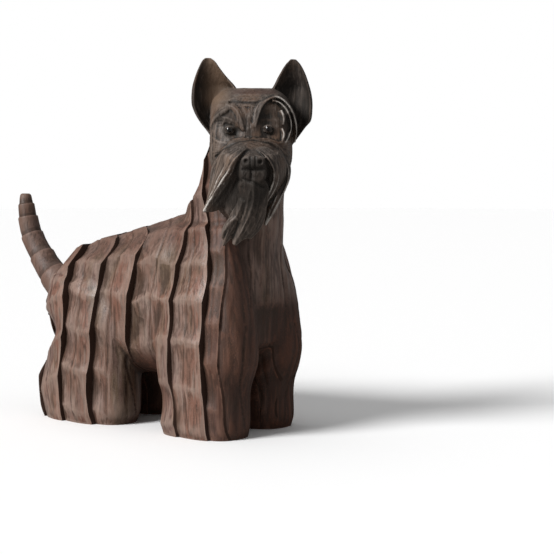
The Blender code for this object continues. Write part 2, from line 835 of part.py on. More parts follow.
def main():
    for obj in list(bpy.data.objects):
        bpy.data.objects.remove(obj)
    body = joined("body", [torso(), upright_body("neck", NECK, 0, NECK_SQUARENESS), *legs()])
    blended(body, BODY_VOXEL, BODY_SMOOTHING)
    slabbed(body)
    reduced(body, BODY_TRIANGLES)
    flat_footed(body)
    figure = united(body, [tail(), reduced(head(), HEAD_TRIANGLES)])
    figure.name = figure.data.name = "scottish_terrier"
    centred(figure)
    figure.data.materials.clear()
    figure.data.materials.append(stained_resin())
    figure.data.shade_smooth()
    figure.data.set_sharp_from_angle(angle=SHARP_ANGLE)
    collection = bpy.data.collections.new("Scottish terrier statuette")
    bpy.context.scene.collection.children.link(collection)
    bpy.context.scene.collection.objects.unlink(figure)
    collection.objects.link(figure)


main()
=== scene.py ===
# %% [markdown]
# # A Scottish terrier cast in stained resin
#
# The real object is one hollow casting of a wood carving: a body of upright slabs that overlap
# like planks, a ringed tail and a dark head with a long moustache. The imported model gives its
# true size and place. This lesson carves the same figure again, more finely, and stains it.

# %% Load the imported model
import math

import bmesh
import bpy
import numpy as np
from mathutils import Matrix, Vector
from mathutils.bvhtree import BVHTree
from mathutils.kdtree import KDTree


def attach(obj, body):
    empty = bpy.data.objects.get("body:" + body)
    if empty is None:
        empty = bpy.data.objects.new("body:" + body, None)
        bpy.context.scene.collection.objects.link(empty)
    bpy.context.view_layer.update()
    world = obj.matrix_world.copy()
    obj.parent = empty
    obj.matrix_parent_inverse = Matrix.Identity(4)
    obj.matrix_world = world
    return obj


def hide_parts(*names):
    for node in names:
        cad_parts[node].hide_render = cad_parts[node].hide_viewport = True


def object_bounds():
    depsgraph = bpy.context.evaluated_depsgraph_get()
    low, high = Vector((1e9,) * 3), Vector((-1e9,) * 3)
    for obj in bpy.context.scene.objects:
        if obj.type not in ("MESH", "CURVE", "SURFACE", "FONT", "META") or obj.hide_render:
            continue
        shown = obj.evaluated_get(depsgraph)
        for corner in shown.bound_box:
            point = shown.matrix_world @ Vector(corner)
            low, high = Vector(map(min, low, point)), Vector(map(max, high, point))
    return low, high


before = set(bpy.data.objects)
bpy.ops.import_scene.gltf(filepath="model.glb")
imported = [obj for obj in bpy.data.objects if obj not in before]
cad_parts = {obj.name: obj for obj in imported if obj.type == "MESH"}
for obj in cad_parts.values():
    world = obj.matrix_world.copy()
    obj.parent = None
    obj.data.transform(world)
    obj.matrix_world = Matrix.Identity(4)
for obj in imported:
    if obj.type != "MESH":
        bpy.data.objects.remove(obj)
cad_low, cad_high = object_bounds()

NODE = "scottish_terrier"
print("the packed figure spans", [round(v, 4) for v in cad_low], "to", [round(v, 4) for v in cad_high])

# %% [markdown]
# ## Sizes in parts
#
# A carver works from one drawing and scales it. The tables here are in parts, about a
# millimetre each: x runs to the dog's left, y to its rear and z up. The drawing's ear tip and
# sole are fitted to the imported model's height, so the whole figure follows the frame.

# %% The size of one part
EAR_TIP_Z = 356.5
SOLE_Z = -3
PART = (cad_high.z - cad_low.z) / (EAR_TIP_Z - SOLE_Z)
print("one part is", round(PART * 1000, 3), "mm")

# %% [markdown]
# ## Smooth rows and lofts
#
# A carved body swells and narrows along its length. It could be sculpted by hand, but a loft
# through a few measured rows keeps every size in view. Catmull-Rom interpolation puts more
# rows between the measured ones, and a superellipse gives each row a rounded, boxy outline.

# %% Curves through rows of numbers
def catmull_rom(a, b, c, d, t):
    """The value at share t of the stretch from b to c."""
    return b + 0.5 * t * (c - a + t * (2 * a - 5 * b + 4 * c - d + t * (3 * (b - c) + d - a)))


def smooth_rows(rows, steps):
    """The table's rows with steps - 1 more rows between each two, on a smooth curve."""
    rows = np.array(rows, float)
    padded = np.vstack([2 * rows[0] - rows[1], rows, 2 * rows[-1] - rows[-2]])
    finer = [
        catmull_rom(*padded[i : i + 4], step / steps)
        for i in range(len(rows) - 1)
        for step in range(steps)
    ]
    return np.array([*finer, rows[-1]])


RING_POINTS = 64


def superellipse(half_a, half_b, squareness):
    """Points round an oval that grows squarer as squareness rises over 2."""
    angles = np.arange(RING_POINTS) * 2 * math.pi / RING_POINTS
    power = 2 / squareness
    a = half_a * np.sign(np.cos(angles)) * np.abs(np.cos(angles)) ** power
    b = half_b * np.sign(np.sin(angles)) * np.abs(np.sin(angles)) ** power
    return a, b


def smoothstep(low, high, value):
    """A soft step from 0 at low to 1 at high; low may be the larger."""
    t = np.clip((value - low) / (high - low), 0, 1)
    return t * t * (3 - 2 * t)


# %% Lofts, joins and modifiers
def new_object(name, data):
    """An object of the scene with this mesh, curve, camera or light."""
    obj = bpy.data.objects.new(name, data)
    bpy.context.scene.collection.objects.link(obj)
    return obj


def loft(name, rings):
    """A closed body through rings of equally many points, in metres."""
    shape = bmesh.new()
    loops = [[shape.verts.new(Vector(point) * PART) for point in ring] for ring in rings]
    for lower, upper in zip(loops, loops[1:]):
        for i in range(len(lower)):
            shape.faces.new([lower[i - 1], lower[i], upper[i], upper[i - 1]])
    shape.faces.new(loops[0][::-1])
    shape.faces.new(loops[-1])
    bmesh.ops.recalc_face_normals(shape, faces=shape.faces)
    mesh = bpy.data.meshes.new(name)
    shape.to_mesh(mesh)
    shape.free()
    return new_object(name, mesh)


def joined(name, objects):
    """One mesh object from several, which are removed."""
    shape = bmesh.new()
    for obj in objects:
        shape.from_mesh(obj.data)
        bpy.data.objects.remove(obj)
    mesh = bpy.data.meshes.new(name)
    shape.to_mesh(mesh)
    shape.free()
    return new_object(name, mesh)


def applied(obj):
    """The object with its modifiers made part of its mesh."""
    graph = bpy.context.evaluated_depsgraph_get()
    mesh = bpy.data.meshes.new_from_object(obj.evaluated_get(graph))
    obj.modifiers.clear()
    obj.data = mesh
    return obj


def blended(obj, voxel, smoothing):
    """Melts overlapping forms into one skin, as a mould does, and softens it."""
    remesh = obj.modifiers.new("Blend", "REMESH")
    remesh.mode = "VOXEL"
    remesh.voxel_size = voxel * PART
    smooth = obj.modifiers.new("Soften", "SMOOTH")
    smooth.factor = 0.5
    smooth.iterations = smoothing
    return applied(obj)


def reduced(obj, triangles):
    """The same form in about this many triangles; vertices in a group named kept stay."""
    obj.data.calc_loop_triangles()
    decimate = obj.modifiers.new("Reduce", "DECIMATE")
    decimate.ratio = min(1, triangles / len(obj.data.loop_triangles))
    if "kept" in obj.vertex_groups:
        decimate.vertex_group = "kept"
        decimate.invert_vertex_group = True
        decimate.vertex_group_factor = 1
    return applied(obj)


def vertex_values(mesh, name):
    values = np.empty(len(mesh.vertices) * 3, np.float32)
    mesh.vertices.foreach_get(name, values)
    return values.reshape(-1, 3).astype(float)


# %% [markdown]
# ## The body
#
# Under the slabs lies a plain stocky dog: a barrel, a neck that leans forward and four thick
# legs. Each is a loft of its own. A voxel remesh welds them without seams, and smoothing
# rounds the places where they meet, which a Boolean union would leave as hard creases.

# %% Rows of the body
# Rows along the back: y, top, underside, half width
TORSO = [
    (132, 127, 94, 34),
    (130, 138, 78, 47),
    (120, 155, 63, 56),
    (102, 171, 52, 61),
    (76, 181, 48, 63),
    (40, 189, 47, 63),
    (0, 199, 47, 62),
    (-40, 207, 50, 62),
    (-80, 203, 58, 54),
    (-106, 185, 70, 44),
    (-122, 168, 84, 33),
]
TORSO_SQUARENESS = 2.7
# Rows up the neck and up a leg: z, middle y, half length, half width
NECK = [
    (120, -76, 50, 57),
    (150, -76, 49, 53),
    (172, -76, 47.5, 48),
    (198, -78, 48, 45),
    (212, -81, 45, 43.5),
    (226, -86, 41, 41.5),
    (245, -91, 38, 39),
    (270, -93, 34, 33),
    (300, -97, 30, 30),
]
NECK_SQUARENESS = 2.4
FORELEG = [
    (-16, -77, 42, 26),
    (-3, -77, 43, 28),
    (8, -77, 46, 31),
    (40, -77, 46, 31),
    (70, -79, 54, 33),
    (100, -79, 52, 32),
    (128, -79, 48, 29),
    (155, -79, 42, 22.5),
    (178, -79, 35, 16),
    (198, -80, 26, 9),
]
HIND_LEG = [
    (-16, 76.5, 52, 26),
    (-3, 76.5, 54, 28),
    (10, 76.5, 59.5, 31),
    (40, 77, 59.5, 32),
    (66, 69.5, 53, 32),
    (88, 65, 49, 32),
    (110, 72, 55, 32),
    (140, 76, 48, 24),
]
LEG_SQUARENESS = 2.6
# The right legs' and left legs' middles, and how much further back the left legs stand
RIGHT_LEG_X = -41
LEFT_LEG_X = 36
LEFT_LEGS_BACK = 7
ROW_STEPS = 4

# %% Lofts of the body
def torso():
    rings = []
    for y, top, under, half_width in smooth_rows(TORSO, ROW_STEPS):
        across, up = superellipse(half_width, (top - under) / 2, TORSO_SQUARENESS)
        rings.append([(a, y, (top + under) / 2 + b) for a, b in zip(across, up)])
    return loft("torso", rings)


def upright_body(name, rows, x, back, squareness):
    rings = []
    for z, y, half_length, half_width in smooth_rows(rows, ROW_STEPS):
        along, across = superellipse(half_length, half_width, squareness)
        rings.append([(x + b, y + back + a, z) for a, b in zip(along, across)])
    return loft(name, rings)


# %% Weld the body together
BODY_VOXEL = 1.6
BODY_SMOOTHING = 42

body_forms = [torso(), upright_body("neck", NECK, 0, 0, NECK_SQUARENESS)]
for rows in (FORELEG, HIND_LEG):
    body_forms.append(upright_body("right leg", rows, RIGHT_LEG_X, 0, LEG_SQUARENESS))
    body_forms.append(upright_body("left leg", rows, LEFT_LEG_X, LEFT_LEGS_BACK, LEG_SQUARENESS))
body = blended(joined("body", body_forms), BODY_VOXEL, BODY_SMOOTHING)
print("the welded body has", len(body.data.polygons), "faces")

# %% [markdown]
# ## Where the slabs meet
#
# Every slab ends at the front in a crisp, proud edge with a dark wall under it. A groove's
# line wanders as it climbs, so it is drawn by its y at nine heights. Counting the grooves
# behind a point gives it a station: station 3.5 is halfway along the slab between grooves
# 3 and 4. In stations every groove is a flat plane, which is easy to cut exactly.

# %% The grooves' lines
GROOVE_HEIGHTS = (0, 30, 60, 90, 120, 150, 180, 215, 260)
GROOVES = [
    (122, 128, 124, 119, 126, 132, 136, 140, 140),
    (87, 89, 88, 83, 82, 88, 85, 83, 83),
    (47, 50.5, 46.5, 44, 42, 42, 35, 32, 32),
    (14, 14, 13, 8, 3.5, -1, -6, -8, -8),
    (-66, -62, -58, -59, -58, -59, -63, -59, -50),
    (-102.5, -100.5, -99, -99, -99.5, -100, -93.5, -79, -66),
    (-117.5, -116, -115.5, -116, -116, -115.5, -109.5, -103, -96),
]
# How much further back each groove runs over the spine than on the flanks, how far from the
# middle that begins and ends, and between which heights
SPINE_SHIFTS = (0, 10, 26, 31, 12, 0, 0)
SPINE_SPREAD = (48, 12)
SPINE_HEIGHT = (140, 175)
GROOVE_STEPS = 6
# The left flank's grooves wander by this much, in waves this long, each one's waves begun
# this much later, with a second wave half as long, and settle above the shoulder
LEFT_WAVE = 2.6
LEFT_WAVE_LENGTH = 19
LEFT_WAVE_DELAY = 2.1
SECOND_WAVE_SHARE = 0.6
SHOULDER = (150, 215)
FLANK_BLEND = 25
# How far before the first and past the last groove the figure may reach
BEYOND = 200.0

# %% From places to stations and back
def groove_lines(x, z):
    """The y of each groove at these points, a row for each groove; the left flank's waves differ."""
    left = smoothstep(-FLANK_BLEND, FLANK_BLEND, x)
    near_spine = smoothstep(*SPINE_SPREAD, np.abs(x)) * smoothstep(*SPINE_HEIGHT, z)
    lines = [np.full(len(x), BEYOND)]
    for number, ys in enumerate(GROOVES):
        rows = smooth_rows(np.column_stack([GROOVE_HEIGHTS, ys]), GROOVE_STEPS)
        right_y = np.interp(z, rows[:, 0], rows[:, 1])
        straight = np.interp(z, [SHOULDER[0], SHOULDER[1], GROOVE_HEIGHTS[-1]], [np.mean(ys[:5]), *ys[-2:]])
        turn = z / LEFT_WAVE_LENGTH + LEFT_WAVE_DELAY * number
        wave = LEFT_WAVE * (np.sin(turn) + SECOND_WAVE_SHARE * np.sin(2 * turn))
        wave *= smoothstep(SHOULDER[1], SHOULDER[0], z)
        flank = right_y * (1 - left) + (straight + wave) * left
        lines.append(flank + SPINE_SHIFTS[number] * near_spine)
    lines.append(np.full(len(x), -BEYOND))
    return np.array(lines)


def to_stations(points):
    """How many grooves lie behind each point, with the share of the way to the next."""
    lines = groove_lines(points[:, 0], points[:, 2])
    shares = (lines[:-1] - points[:, 1]) / (lines[:-1] - lines[1:])
    return np.clip(shares, 0, 1).sum(axis=0)


def from_stations(x, z, station):
    """The y of points given by their station."""
    lines = groove_lines(x, z)
    steps = np.clip(station - np.arange(len(lines) - 1)[:, None], 0, 1)
    return lines[0] + (steps * (lines[1:] - lines[:-1])).sum(axis=0)


print(len(GROOVES), "grooves part the body into", len(GROOVES) + 1, "slabs")

# %% [markdown]
# ## How deep the walls are
#
# A slab is lowest just in front of a wall and swells towards its own front edge, so the
# relief is a sawtooth with a rounded back. The walls' depths differ from groove to groove
# and along each one, as hand carving does.

# %% The sawtooth of the slabs
# The depth of each groove's wall at the groove heights
WALL_DEPTHS = [
    (4, 4, 4, 4, 4, 4, 3, 3, 3),
    (3.8, 3.8, 4, 5.2, 7.3, 7, 5, 3, 3),
    (5, 8, 6.8, 7, 5, 4.6, 3.5, 2.5, 2.5),
    (1, 1, 1.5, 5, 6.5, 6.5, 2.2, 1.8, 1.8),
    (2.8, 3.2, 4, 3, 5, 6.5, 4, 2, 2),
    (3.2, 4.4, 5.8, 5.5, 7, 4.6, 4.2, 6, 5),
    (1.5, 1.5, 1.8, 1.8, 1.8, 1.8, 1.6, 1.5, 1.2),
]
PROUD_SHARE = 0.45
SUNK_SHARE = 0.55
WALL_THICKNESS = 0.8
SLAB_ROUNDING = 2.2
STATION_SCALE = 30.0
HALF_WALL = WALL_THICKNESS / 2 / STATION_SCALE
# The share of the depth left between the legs, where the full depth begins above them,
# and how far out from the middle it begins
INNER_DEPTH = 0.25
LEG_TOP = (66, 100)
INNER_SIDE = (8, 30)

# %% How far the surface stands out
def wall_depths(z):
    """The depth of each groove's wall at these heights, a row for each, with none before and after."""
    rows = [np.interp(z, GROOVE_HEIGHTS, depths) for depths in WALL_DEPTHS]
    return np.array([0 * z, *rows, 0 * z])


def slab_offset(station, z):
    """How far the surface stands out: least behind a wall, most at a slab's front edge."""
    depths = wall_depths(z)
    number = np.clip(np.floor(station + HALF_WALL), 0, len(depths) - 2).astype(int)
    behind = np.take_along_axis(depths, number[None], axis=0)[0]
    ahead = np.take_along_axis(depths, number[None] + 1, axis=0)[0]
    share = np.clip((station - number - HALF_WALL) / (1 - 2 * HALF_WALL), 0, 1)
    sunk = -SUNK_SHARE * behind
    proud = PROUD_SHARE * ahead
    on_slab = sunk + (proud - sunk) * (1 - (1 - share) ** SLAB_ROUNDING)
    down_wall = np.clip((station - number + HALF_WALL) / (2 * HALF_WALL), 0, 1)
    on_wall = PROUD_SHARE * behind - behind * down_wall
    return np.where(station - number < HALF_WALL, on_wall, on_slab)


def depth_share(points):
    """The share of the slabs' full relief at these points of the body."""
    x, _, z = points.T
    outer = smoothstep(*INNER_SIDE, np.abs(x)) + smoothstep(*LEG_TOP, z)
    return np.clip(outer, INNER_DEPTH, 1)


# %% [markdown]
# ## Tool marks on the slabs
#
# The slabs were shaped with an adze: shallow scoops, one above the other, that meet in soft
# crests, and a fine line down the middle of each slab. Moving vertices along their normals
# makes marks that the light really catches. The chest carries shallow, uneven upright flutes.

# %% Adze cuts
CUT_LENGTH = 41
CUT_DEPTH = 2.1
CUT_CREST = 0.5
# How the cuts' length differs from slab to slab, and how much further on each slab's cuts begin
CUT_SPREAD = (0.16, 3.1)
CUT_TURN = (0.37, 1.5)
# The least strength of a cut and how much more it may have, and how fast it changes from cut
# to cut and from slab to slab
CUT_STRENGTH = (0.4, 1.1)
CUT_CHANGE = (7.3, 2.9)
# How the cuts run on over the back, whose half width this is, and waver along and across it
OVER_BACK = 0.9
HALF_BACK = 60
ALONG_WAVER = (3.5, 17)
ACROSS_WAVER = (2, 13, 9)


def up_the_slab(points):
    """The way up a slab, on over the back towards the spine."""
    x, y, z = points.T
    along = ALONG_WAVER[0] * np.sin(y / ALONG_WAVER[1])
    across = ACROSS_WAVER[0] * np.sin(x / ACROSS_WAVER[1] + y / ACROSS_WAVER[2])
    return z + OVER_BACK * (HALF_BACK - np.abs(x)) + along + across


def adze_cuts(points, number):
    """Scoops one above the other, each of its own depth, with low crests between them."""
    length = CUT_LENGTH * (1 + CUT_SPREAD[0] * np.sin(CUT_SPREAD[1] * number))
    turn = up_the_slab(points) / length + CUT_TURN[0] * number ** CUT_TURN[1]
    change = CUT_CHANGE[0] * np.floor(turn) + CUT_CHANGE[1] * number
    strength = CUT_STRENGTH[0] + CUT_STRENGTH[1] * np.abs(np.sin(change))
    return CUT_CREST - CUT_DEPTH * strength * (1 - (2 * (turn % 1) - 1) ** 2)


# %% A fine line down the middle of each slab
MIDDLE_SHARE = 0.47
MIDDLE_WAVER = (0.05, 27)
MIDDLE_DEPTH = 0.75
MIDDLE_WIDTH = 1.5


def middle_lines(points, station, number):
    """A fine line down the middle of each slab between two grooves."""
    lines = groove_lines(points[:, 0], points[:, 2])
    at = np.clip(number, 0, len(lines) - 2).astype(int)[None]
    width = np.take_along_axis(lines, at, axis=0)[0] - np.take_along_axis(lines, at + 1, axis=0)[0]
    middle = MIDDLE_SHARE + MIDDLE_WAVER[0] * np.sin(points[:, 2] / MIDDLE_WAVER[1] + 2 * number)
    away = (station - number - middle) * width
    inner = (number > 0) & (number < len(GROOVES))
    return -MIDDLE_DEPTH * np.exp(-((away / MIDDLE_WIDTH) ** 2)) * inner


# %% Flutes up the chest
FLUTE_SPACING = 12
CHEST_FLUTE_DEPTH = 0.75
# How far the flutes wander in long and short waves and shift sideways, and how long the waves are
FLUTE_WANDER = (4, 37)
FLUTE_WAVER = (1.6, 13, 9)
FLUTE_SHIFT = (3, 7)
# Their least strength and how much more it may be, and how slowly it changes across and up
FLUTE_STRENGTH = (0.1, 0.9)
FLUTE_CHANGE = (10, 60)
# How far forward the surface looks where the flutes begin and where they reach their full depth
FLUTED_FRONT = (0.45, 0.85)


def chest_flutes(points, normals):
    """Upright flutes that wander in long and short waves and come and go across the chest."""
    x, _, z = points.T
    wander = FLUTE_WANDER[0] * np.sin(z / FLUTE_WANDER[1])
    wander += FLUTE_WAVER[0] * np.sin(z / FLUTE_WAVER[1] + x / FLUTE_WAVER[2])
    turn = math.pi * (x + wander + FLUTE_SHIFT[0] * np.sin(x / FLUTE_SHIFT[1])) / FLUTE_SPACING
    change = np.abs(np.sin(x / FLUTE_CHANGE[0] + z / FLUTE_CHANGE[1]))
    strength = CHEST_FLUTE_DEPTH * (FLUTE_STRENGTH[0] + FLUTE_STRENGTH[1] * change)
    return strength * (np.abs(np.sin(turn)) - 1) * smoothstep(*FLUTED_FRONT, -normals[:, 1])


# %% Lines scored down the front, and all marks together
# Lines scored down the chest and the forelegs' fronts, as x and z
CHEST_LINES = [
    [(-27, 184), (-26, 164), (-27, 146), (-33, 122)],
    [(-45, 104), (-50, 84), (-50, 60), (-42, 33), (-36, 6)],
    [(21, 176), (19, 158), (22, 138), (27, 118)],
    [(39, 100), (44, 78), (42, 52), (35, 24), (33, 4)],
]
SCORE_WIDTH = 1.1
SCORE_DEPTH = 1.3
SCORE_STEPS = 12
FAR_AWAY = 99.0
# How far forward the surface looks where these lines begin, and where the adze cuts end
SCORED_FRONT = (0.2, 0.5)
CUT_FRONT = (0.75, 0.35)
# The marks fade out down to the soles
MARK_FADE = (0, 14)


def scored(points, normals):
    """1 on the lines scored down the front, falling to 0 beside them."""
    nearest = np.full(len(points), FAR_AWAY)
    for line in CHEST_LINES:
        for x, z in smooth_rows(line, SCORE_STEPS):
            nearest = np.minimum(nearest, np.hypot(points[:, 0] - x, points[:, 2] - z))
    return np.exp(-((nearest / SCORE_WIDTH) ** 2)) * smoothstep(*SCORED_FRONT, -normals[:, 1])


def tool_marks(points, normals, station):
    number = np.floor(station)
    marks = adze_cuts(points, number) * smoothstep(*CUT_FRONT, -normals[:, 1])
    marks += middle_lines(points, station, number)
    marks += chest_flutes(points, normals) - SCORE_DEPTH * scored(points, normals)
    return marks * smoothstep(*MARK_FADE, points[:, 2] - SOLE_Z)


print(len(CHEST_LINES), "lines are scored down the front")

# %% [markdown]
# ## Cutting the slabs
#
# With y changed to stations, a flat bisection puts clean edges on both sides of every wall,
# and the step between them becomes the wall. Cutting the real, wandering grooves would need
# a curved cutter for each. Afterwards the points go back to y, and each moves out or in.

# %% Cut edges along the grooves
def cut_at_grooves(shape):
    """Cuts edges along both sides of every groove's wall, while grooves are flat planes."""
    for number in range(1, len(GROOVES) + 1):
        for side in (-0.5, 0.5):
            bmesh.ops.bisect_plane(
                shape,
                geom=shape.verts[:] + shape.edges[:] + shape.faces[:],
                plane_co=(0, number * STATION_SCALE + side * WALL_THICKNESS, 0),
                plane_no=(0, 1, 0),
                dist=0.0001,
            )


# %% How near a point lies to its slab's edges
EDGE_REACH = 4.0
# Just inside a wall's two edges, and just round them
INSIDE_WALL = 0.9 * HALF_WALL
ROUND_WALL = 1.1 * HALF_WALL
# How far to the front or rear a surface may look before its edges no longer show
EDGES_SHOWN = (0.97, 0.85)
NOTES = ("front edge", "rear edge", "across", "shade")


def edge_reach(points, normals, station):
    """How near each point is to its slab's front and rear edge: EDGE_REACH on it, 0 far away."""
    lines = groove_lines(points[:, 0], points[:, 2])
    number = np.clip(np.floor(station), 0, len(lines) - 2).astype(int)[None]
    behind = np.take_along_axis(lines, number, axis=0)[0] - points[:, 1]
    ahead = points[:, 1] - np.take_along_axis(lines, number + 1, axis=0)[0]
    beside = station - np.round(station)
    on_wall = np.abs(beside) < INSIDE_WALL
    front = np.where(beside <= 0, np.clip(EDGE_REACH - ahead, 0, EDGE_REACH), 0)
    rear = np.where(beside > 0, np.clip(EDGE_REACH - behind, 0, EDGE_REACH), 0)
    sideways = smoothstep(*EDGES_SHOWN, np.abs(normals[:, 1]))
    front = np.where(on_wall, EDGE_REACH / 2, front) * sideways
    return front, np.where(on_wall, EDGE_REACH / 2, rear) * sideways


# %% How dark the stain and the painted shade lie
# How dark and red each slab is from the rear, partly stain and on the chest's slabs painted
# shade, and how dark the painted shade lies on the undersides, the inner legs and the back's top
SLAB_SHADES = (0, 0.05, 0.1, 0.12, 0, 0, 0.78, 0.92)
INNER_SHADE = 0.95
BACK_SHADE = 0.6
# The heights between which the inner legs gain their shade downwards and the chest its own, the
# back is shaded, and the upper chest is lit, which takes away this share of its shade
LOW_SHADE = (115, 85)
CHEST_SHADE = (190, 120)
BACK_HEIGHT = (140, 170)
UPPER_CHEST = (112, 140)
LIGHTER = 0.8


def shading(points, normals, station):
    """How dark the painted shade and the stain lie: most on the chest's slabs, under the belly and between
    the legs.
    """
    x, _, z = points.T
    aside, rearward, upward = normals.T
    shade = np.array(SLAB_SHADES)[np.clip(np.floor(station), 0, len(GROOVES)).astype(int)]
    # Painted shade on the legs' inner sides and under the belly, fading out upwards
    inner = np.maximum(smoothstep(0.2, 0.8, -np.sign(x) * aside), smoothstep(0.2, 0.7, -upward))
    inner *= smoothstep(*LOW_SHADE, z)
    # Painted shade on the chest
    chest_shade = smoothstep(0.3, 0.8, -rearward) * smoothstep(-20, 8, x) * smoothstep(*CHEST_SHADE, z)
    # Painted light: the lit upper chest keeps less of its painted shade
    lit_upper_chest = smoothstep(-34, -16, x) * smoothstep(*UPPER_CHEST, z)
    unlit = 1 - LIGHTER * lit_upper_chest
    # Painted shade on the top of the back
    back = smoothstep(0.05, 0.55, upward) * smoothstep(*BACK_HEIGHT, z)
    shades = [shade * unlit, INNER_SHADE * inner, chest_shade * unlit, BACK_SHADE * back]
    # The scored lines down the front are darkened as painted shade in them
    return np.maximum.reduce([*shades, scored(points, normals)])


# %% Swell and mark the slabs and trim the soles
def slabbed(obj):
    """Cuts the grooves into the body, swells each slab towards its front edge and marks it."""
    mesh = obj.data
    points = vertex_values(mesh, "co") / PART
    normals = vertex_values(mesh, "normal")
    warped = np.column_stack([points[:, 0], to_stations(points) * STATION_SCALE, points[:, 2]])
    mesh.vertices.foreach_set("co", warped.astype(np.float32).ravel())
    shape = bmesh.new()
    shape.from_mesh(mesh)
    layer = shape.verts.layers.float_vector.new("normal")
    for vert, normal in zip(shape.verts, normals):
        vert[layer] = normal
    cut_at_grooves(shape)
    warped = np.array([vert.co for vert in shape.verts])
    normals = np.array([vert[layer].normalized() for vert in shape.verts])
    station = warped[:, 1] / STATION_SCALE
    y = from_stations(warped[:, 0], warped[:, 2], station)
    points = np.column_stack([warped[:, 0], y, warped[:, 2]])
    front, rear = edge_reach(points, normals, station)
    push = slab_offset(station, points[:, 2]) * depth_share(points)
    marks = tool_marks(points, normals, station)
    points[:, 0] += push * normals[:, 0]
    points[:, 2] += push * normals[:, 2]
    points += marks[:, None] * normals
    layers = [shape.verts.layers.float.new(name) for name in NOTES]
    across = station - np.floor(station + 0.5 * HALF_WALL)
    shade = shading(points, normals, station)
    for vert, point, *notes in zip(shape.verts, points, front, rear, across, shade):
        vert.co = Vector(point) * PART
        for layer, note in zip(layers, notes):
            vert[layer] = note
    shape.verts.layers.float_vector.remove(shape.verts.layers.float_vector["normal"])
    shape.to_mesh(mesh)
    shape.free()
    on_wall = np.abs(station - np.round(station)) < ROUND_WALL
    kept = np.flatnonzero(on_wall & (station > 0.5)).tolist()
    obj.vertex_groups.new(name="kept").add(kept, 1, "REPLACE")
    return obj


def flat_footed(obj):
    """Trims the soles to the floor."""
    shape = bmesh.new()
    shape.from_mesh(obj.data)
    geometry = shape.verts[:] + shape.edges[:] + shape.faces[:]
    cut = bmesh.ops.bisect_plane(
        shape, geom=geometry, plane_co=(0, 0, SOLE_Z * PART), plane_no=(0, 0, -1), clear_outer=True
    )
    edges = [e for e in cut["geom_cut"] if isinstance(e, bmesh.types.BMEdge)]
    bmesh.ops.holes_fill(shape, edges=edges, sides=0)
    shape.to_mesh(obj.data)
    shape.free()
    return obj


BODY_TRIANGLES = 100000
flat_footed(reduced(slabbed(body), BODY_TRIANGLES))
print("the carved body has", len(body.data.polygons), "faces")

# %% [markdown]
# ## One Geometry Nodes tree for everything that follows a path
#
# The tail, the eyelids and every carved strand of hair are the same idea: a round section
# swept along a line, thicker in the middle than at its ends. A tree with named inputs sweeps
# all the lines of a curve object at once. Each line's own radius thins it where it should be.

# %% The sweeping tree
def new_tree(name, inputs):
    """An empty tree with these named inputs and their kinds, which gives out one form."""
    tree = bpy.data.node_groups.new(name, "GeometryNodeTree")
    for label, kind in inputs.items():
        tree.interface.new_socket(label, in_out="INPUT", socket_type="NodeSocket" + kind)
    tree.interface.new_socket("Form", in_out="OUTPUT", socket_type="NodeSocketGeometry")
    return tree


def wire(tree, links):
    """Joins nodes, each link given as a node, its output, another node and its input."""
    for source, output, target, socket in links:
        tree.links.new(source.outputs[output], target.inputs[socket])


def finished(tree, source, output, given):
    """Ends a tree: its form made real and given the resin."""
    realize = tree.nodes.new("GeometryNodeRealizeInstances")
    finish = tree.nodes.new("GeometryNodeSetMaterial")
    result = tree.nodes.new("NodeGroupOutput")
    wire(tree, [
        (source, output, realize, "Geometry"),
        (realize, "Geometry", finish, "Geometry"),
        (given, "Resin", finish, "Material"),
        (finish, "Geometry", result, "Form"),
    ])
    return tree


def swept_tree():
    tree = new_tree("swept line", {"Lines": "Geometry", "Sides": "Int", "Resin": "Material"})
    given = tree.nodes.new("NodeGroupInput")
    section = tree.nodes.new("GeometryNodeCurvePrimitiveCircle")
    section.inputs["Radius"].default_value = 1
    radius = tree.nodes.new("GeometryNodeInputRadius")
    sweep = tree.nodes.new("GeometryNodeCurveToMesh")
    sweep.inputs["Fill Caps"].default_value = True
    wire(tree, [
        (given, "Sides", section, "Resolution"),
        (given, "Lines", sweep, "Curve"),
        (section, "Curve", sweep, "Profile Curve"),
        (radius, "Radius", sweep, "Scale"),
    ])
    return finished(tree, sweep, "Mesh", given)


SWEPT = swept_tree()
resin = bpy.data.materials.new("stained resin")

# %% Sweep lines with the tree
def set_input(modifier, name, value):
    """Sets a modifier's input by its socket's identifier."""
    for item in modifier.node_group.interface.items_tree:
        if item.item_type == "SOCKET" and item.in_out == "INPUT" and item.name == name:
            modifier[item.identifier] = value


def swept(name, lines, sides):
    """A mesh object of round forms along lines of (x, y, z, radius), in parts."""
    curve = bpy.data.curves.new(name, "CURVE")
    curve.dimensions = "3D"
    for line in lines:
        spline = curve.splines.new("POLY")
        spline.points.add(len(line) - 1)
        places = np.column_stack([np.array(line)[:, :3] * PART, np.ones(len(line))])
        spline.points.foreach_set("co", places.astype(np.float32).ravel())
        spline.points.foreach_set("radius", (np.array(line)[:, 3] * PART).astype(np.float32))
    obj = new_object(name, curve)
    modifier = obj.modifiers.new("Sweep", "NODES")
    modifier.node_group = SWEPT
    set_input(modifier, "Sides", sides)
    set_input(modifier, "Resin", resin)
    graph = bpy.context.evaluated_depsgraph_get()
    mesh = bpy.data.meshes.new_from_object(obj.evaluated_get(graph))
    bpy.data.objects.remove(obj)
    return new_object(name, mesh)


# %% [markdown]
# ## The tail
#
# The tail rises in six stepped sections, each widest at its upper rim, like a stack of cups.
# Its line is swept with a radius that grows along each section and drops back at the next.

# %% Rows of the tail and its sweep
# Rows from the tail's root to its tip: y, z, radius
TAIL = [
    (124, 92, 16),
    (141, 107, 16),
    (157, 123, 16),
    (167, 133.5, 16),
    (180, 146, 14),
    (188, 156.5, 13),
    (197.5, 169, 12),
    (204, 180.5, 11.4),
    (208, 193.5, 10.4),
    (210, 204, 9.2),
    (211.6, 215, 7.4),
    (211.8, 222, 6.4),
]
# Where along the tail each section ends, as shares of its length, and how far it steps in
TAIL_ENDS = (0.4, 0.56, 0.72, 0.845, 0.93, 1.0)
TAIL_STEP = 1.2
